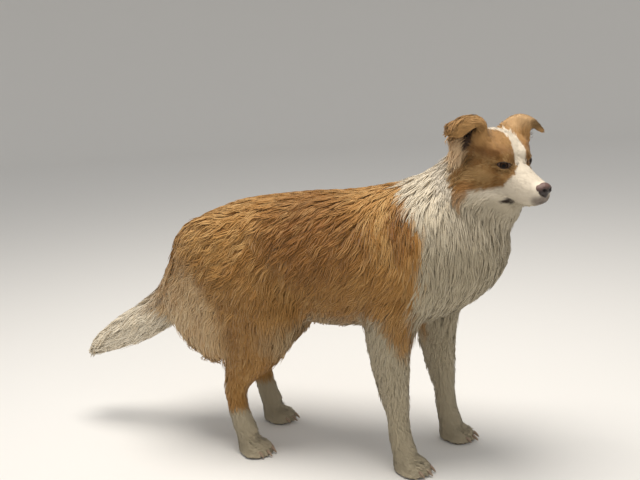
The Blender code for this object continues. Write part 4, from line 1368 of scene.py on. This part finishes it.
def coatPaint():
    paint, wire, shader = newPaint("long coat")
    place, tone = attribute(wire, "rootPlace", 1), attribute(wire, "tone", 2)
    along = attribute(wire, "along", 2).step(0.0, 0.55)
    feed(coatColour(place, tone, along), shader, "Base Color")
    return paint


def skinPaint():
    paint, wire, shader = newPaint("short coat and skin")
    place = wire.make("ShaderNodeNewGeometry")
    along = place.noise(420.0).step(0.25, 0.7) * 0.8
    fur = coatColour(place, place.noise(180.0), along)
    feed(fur.colour(coatColours["dark"], attribute(wire, "bareness", 2)), shader, "Base Color")
    return paint


eyeColours = {
    "pupil": (0.004, 0.003, 0.003, 1), "iris": (0.055, 0.024, 0.009, 1), "rim": (0.010, 0.005, 0.003, 1),
    "white": (0.16, 0.10, 0.075, 1),
}
# edges, as the cosine of the angle from the middle of the pupil
eyeEdges = {"pupil": (0.952, 0.962), "iris": (0.86, 0.90), "white": (0.70, 0.78)}


def eyePaint():
    paint, wire, shader = newPaint("eye")
    gaze = attribute(wire, "gaze", 1)
    ahead = gaze.axis((1, 0, 0))
    iris = wire.mix(gaze.noise(26.0), eyeColours["rim"], eyeColours["iris"])
    colour = wire.mix(ahead.step(*eyeEdges["iris"]), eyeColours["rim"], iris)
    colour = colour.colour(eyeColours["pupil"], ahead.step(*eyeEdges["pupil"]))
    colour = colour.colour(eyeColours["white"], 1 - ahead.step(*eyeEdges["white"]))
    feed(colour, shader, "Base Color")
    return paint


noseFinish = {
    "leather": (0.200, 0.118, 0.100, 1), "mottled": (0.130, 0.068, 0.057, 1), "mottles": 220.0,
    "underside": (0.022, 0.012, 0.010, 1), "undersideEdge": (-0.036, -0.022), "undersideLean": (0.07, 0.5),
    "nostril": (0.012, 0.006, 0.005, 1),
    "grain": 750.0, "grainDepth": 0.0006, "grainStrength": 0.35,
}


def nosePaint():
    paint, wire, shader = newPaint("nose leather")
    place = wire.make("ShaderNodeNewGeometry")
    x, _, z = headAxes(place)
    # painted shade: the underside of the nose leather is much darker
    start, lean = noseFinish["undersideLean"]
    under = 1 - (z - (x - start) * lean).step(*noseFinish["undersideEdge"])
    colour = wire.mix(place.noise(noseFinish["mottles"]), noseFinish["leather"], noseFinish["mottled"])
    colour = colour.colour(noseFinish["underside"], under)
    # painted shadow in the nostrils, darkest where they are carved deepest
    colour = colour.colour(noseFinish["nostril"], attribute(wire, "hollow", 2).step(0.1, 0.8))
    feed(colour, shader, "Base Color")
    cells = wire.make("ShaderNodeTexVoronoi", {"feature": "DISTANCE_TO_EDGE"},
                      {"Vector": place, "Scale": noseFinish["grain"]})
    bump = wire.make("ShaderNodeBump", {}, {"Height": cells.step(0.0, 0.35),
                                            "Distance": noseFinish["grainDepth"],
                                            "Strength": noseFinish["grainStrength"]})
    feed(bump, shader, "Normal")
    return paint


clawColours = {"pale": (0.42, 0.31, 0.22, 1), "dark": (0.20, 0.13, 0.09, 1), "streaks": 160.0}


def clawPaint():
    paint, wire, shader = newPaint("claw horn")
    place = wire.make("ShaderNodeNewGeometry")
    streaks = place.noise(clawColours["streaks"], 3.0)
    feed(wire.mix(streaks, clawColours["pale"], clawColours["dark"]), shader, "Base Color")
    return paint


def dress(objects, paint):
    for o in objects:
        o.data.materials.clear()
        o.data.materials.append(paint)


def bareness(points):
    # 1 on the rims of the eyes, the lips and the pads
    local = mirroredHead(points)
    gap, share = fromLine(local, lipLine)
    start, full, parted = faceShape["mouthCorner"]
    width, widening = bareShape["lipSkin"]
    lips = hump(gap, width + widening * parted * smoothStep(start, full, share))
    rims = np.zeros(len(points))
    for side in sides.values():
        rims = np.maximum(rims, 1 - smoothStep(*bareShape["lidSkin"], rimDistance(points, side)[0]))
    pads = 1 - smoothStep(*bareShape["padSkin"], points[:, 2])
    return np.clip(np.maximum(np.maximum(lips, rims), pads), 0, 1)


bareAt = skin.data.attributes.new("bareness", "FLOAT", "POINT")
bareAt.data.foreach_set("value", bareness(hide.points).astype(np.float32))
dress([skin], skinPaint())
dress(coats, coatPaint())
dress(eyes, eyePaint())
dress([nose], nosePaint())
dress(claws, clawPaint())
print("paints on")


# floor, light and camera

studio = {
    "floorRadius": 7.0, "wallCurve": 2.0, "wallHeight": 1.2,  # the floor rises into a wall all round
    "floorSides": 96, "curveSteps": 12,
    "floorColour": (0.84, 0.83, 0.81), "skyColour": (1.0, 0.985, 0.96), "skyStrength": 0.45,
    "camera": (0.6509, -1.4848, 0.725), "heading": 21.685, "lookDown": 10.985, "roll": -3, "lens": 47.81,
    "lampAim": (0.05, 0, 0.35),
}
lamps = {  # place, size, watts, colour
    "overhead": ((0.0, -0.2, 2.7), 1.5, 62, (1.0, 0.95, 0.88)),
    "front": ((1.9, -1.6, 1.7), 1.4, 6, (1.0, 0.97, 0.93)),
}


def floorProfile():
    radius, curve, steps = studio["floorRadius"], studio["wallCurve"], studio["curveSteps"]
    profile = [(0.02, 0.0), (radius, 0.0)]
    for step in range(1, steps + 1):
        angle = pi / 2 * step / steps
        profile.append((radius + curve * sin(angle), curve * (1 - cos(angle))))
    return profile + [(radius + curve, studio["wallHeight"])]


def addFloor():
    profile, around = floorProfile(), studio["floorSides"]
    points = [(r * cos(2 * pi * k / around), r * sin(2 * pi * k / around), z)
              for r, z in profile for k in range(around)]
    faces = [tuple(range(around))]
    for ring in range(len(profile) - 1):
        for k in range(around):
            a, b = ring * around + k, ring * around + (k + 1) % around
            faces.append((a + around, b + around, b, a))
    mesh = bpy.data.meshes.new("floor")
    mesh.from_pydata(points, [], faces)
    mesh.shade_smooth()
    floor = makeObject("floor", mesh)
    paint, _, shader = newPaint("pale floor")
    shader.inputs["Base Color"].default_value = (*studio["floorColour"], 1)
    floor.data.materials.append(paint)


def addLight():
    sky = bpy.data.worlds.new("studio")
    sky.use_nodes = True
    background = sky.node_tree.nodes["Background"]
    background.inputs["Color"].default_value = (*studio["skyColour"], 1)
    background.inputs["Strength"].default_value = studio["skyStrength"]
    bpy.context.scene.world = sky
    for name, (place, size, watts, colour) in lamps.items():
        light = bpy.data.lights.new(name, "AREA")
        light.shape = "DISK"
        light.size = size
        light.energy = watts
        light.color = colour
        lamp = makeObject(name, light)
        lamp.location = place
        lamp.rotation_euler = (Vector(studio["lampAim"]) - lamp.location).to_track_quat("-Z", "Y").to_euler()


def addCamera():
    camera = makeObject("camera", bpy.data.cameras.new("camera"))
    camera.data.lens = studio["lens"]
    camera.data.clip_start = 0.02
    heading = Matrix.Rotation(radians(studio["heading"]), 4, "Z")
    tilt = Matrix.Rotation(radians(90 - studio["lookDown"]), 4, "X")
    roll = Matrix.Rotation(radians(studio["roll"]), 4, "Z")
    camera.matrix_world = Matrix.Translation(studio["camera"]) @ heading @ tilt @ roll
    bpy.context.scene.camera = camera


addFloor()
addLight()
addCamera()
bpy.context.scene.view_settings.view_transform = "Standard"
print("floor, lamps and camera set")
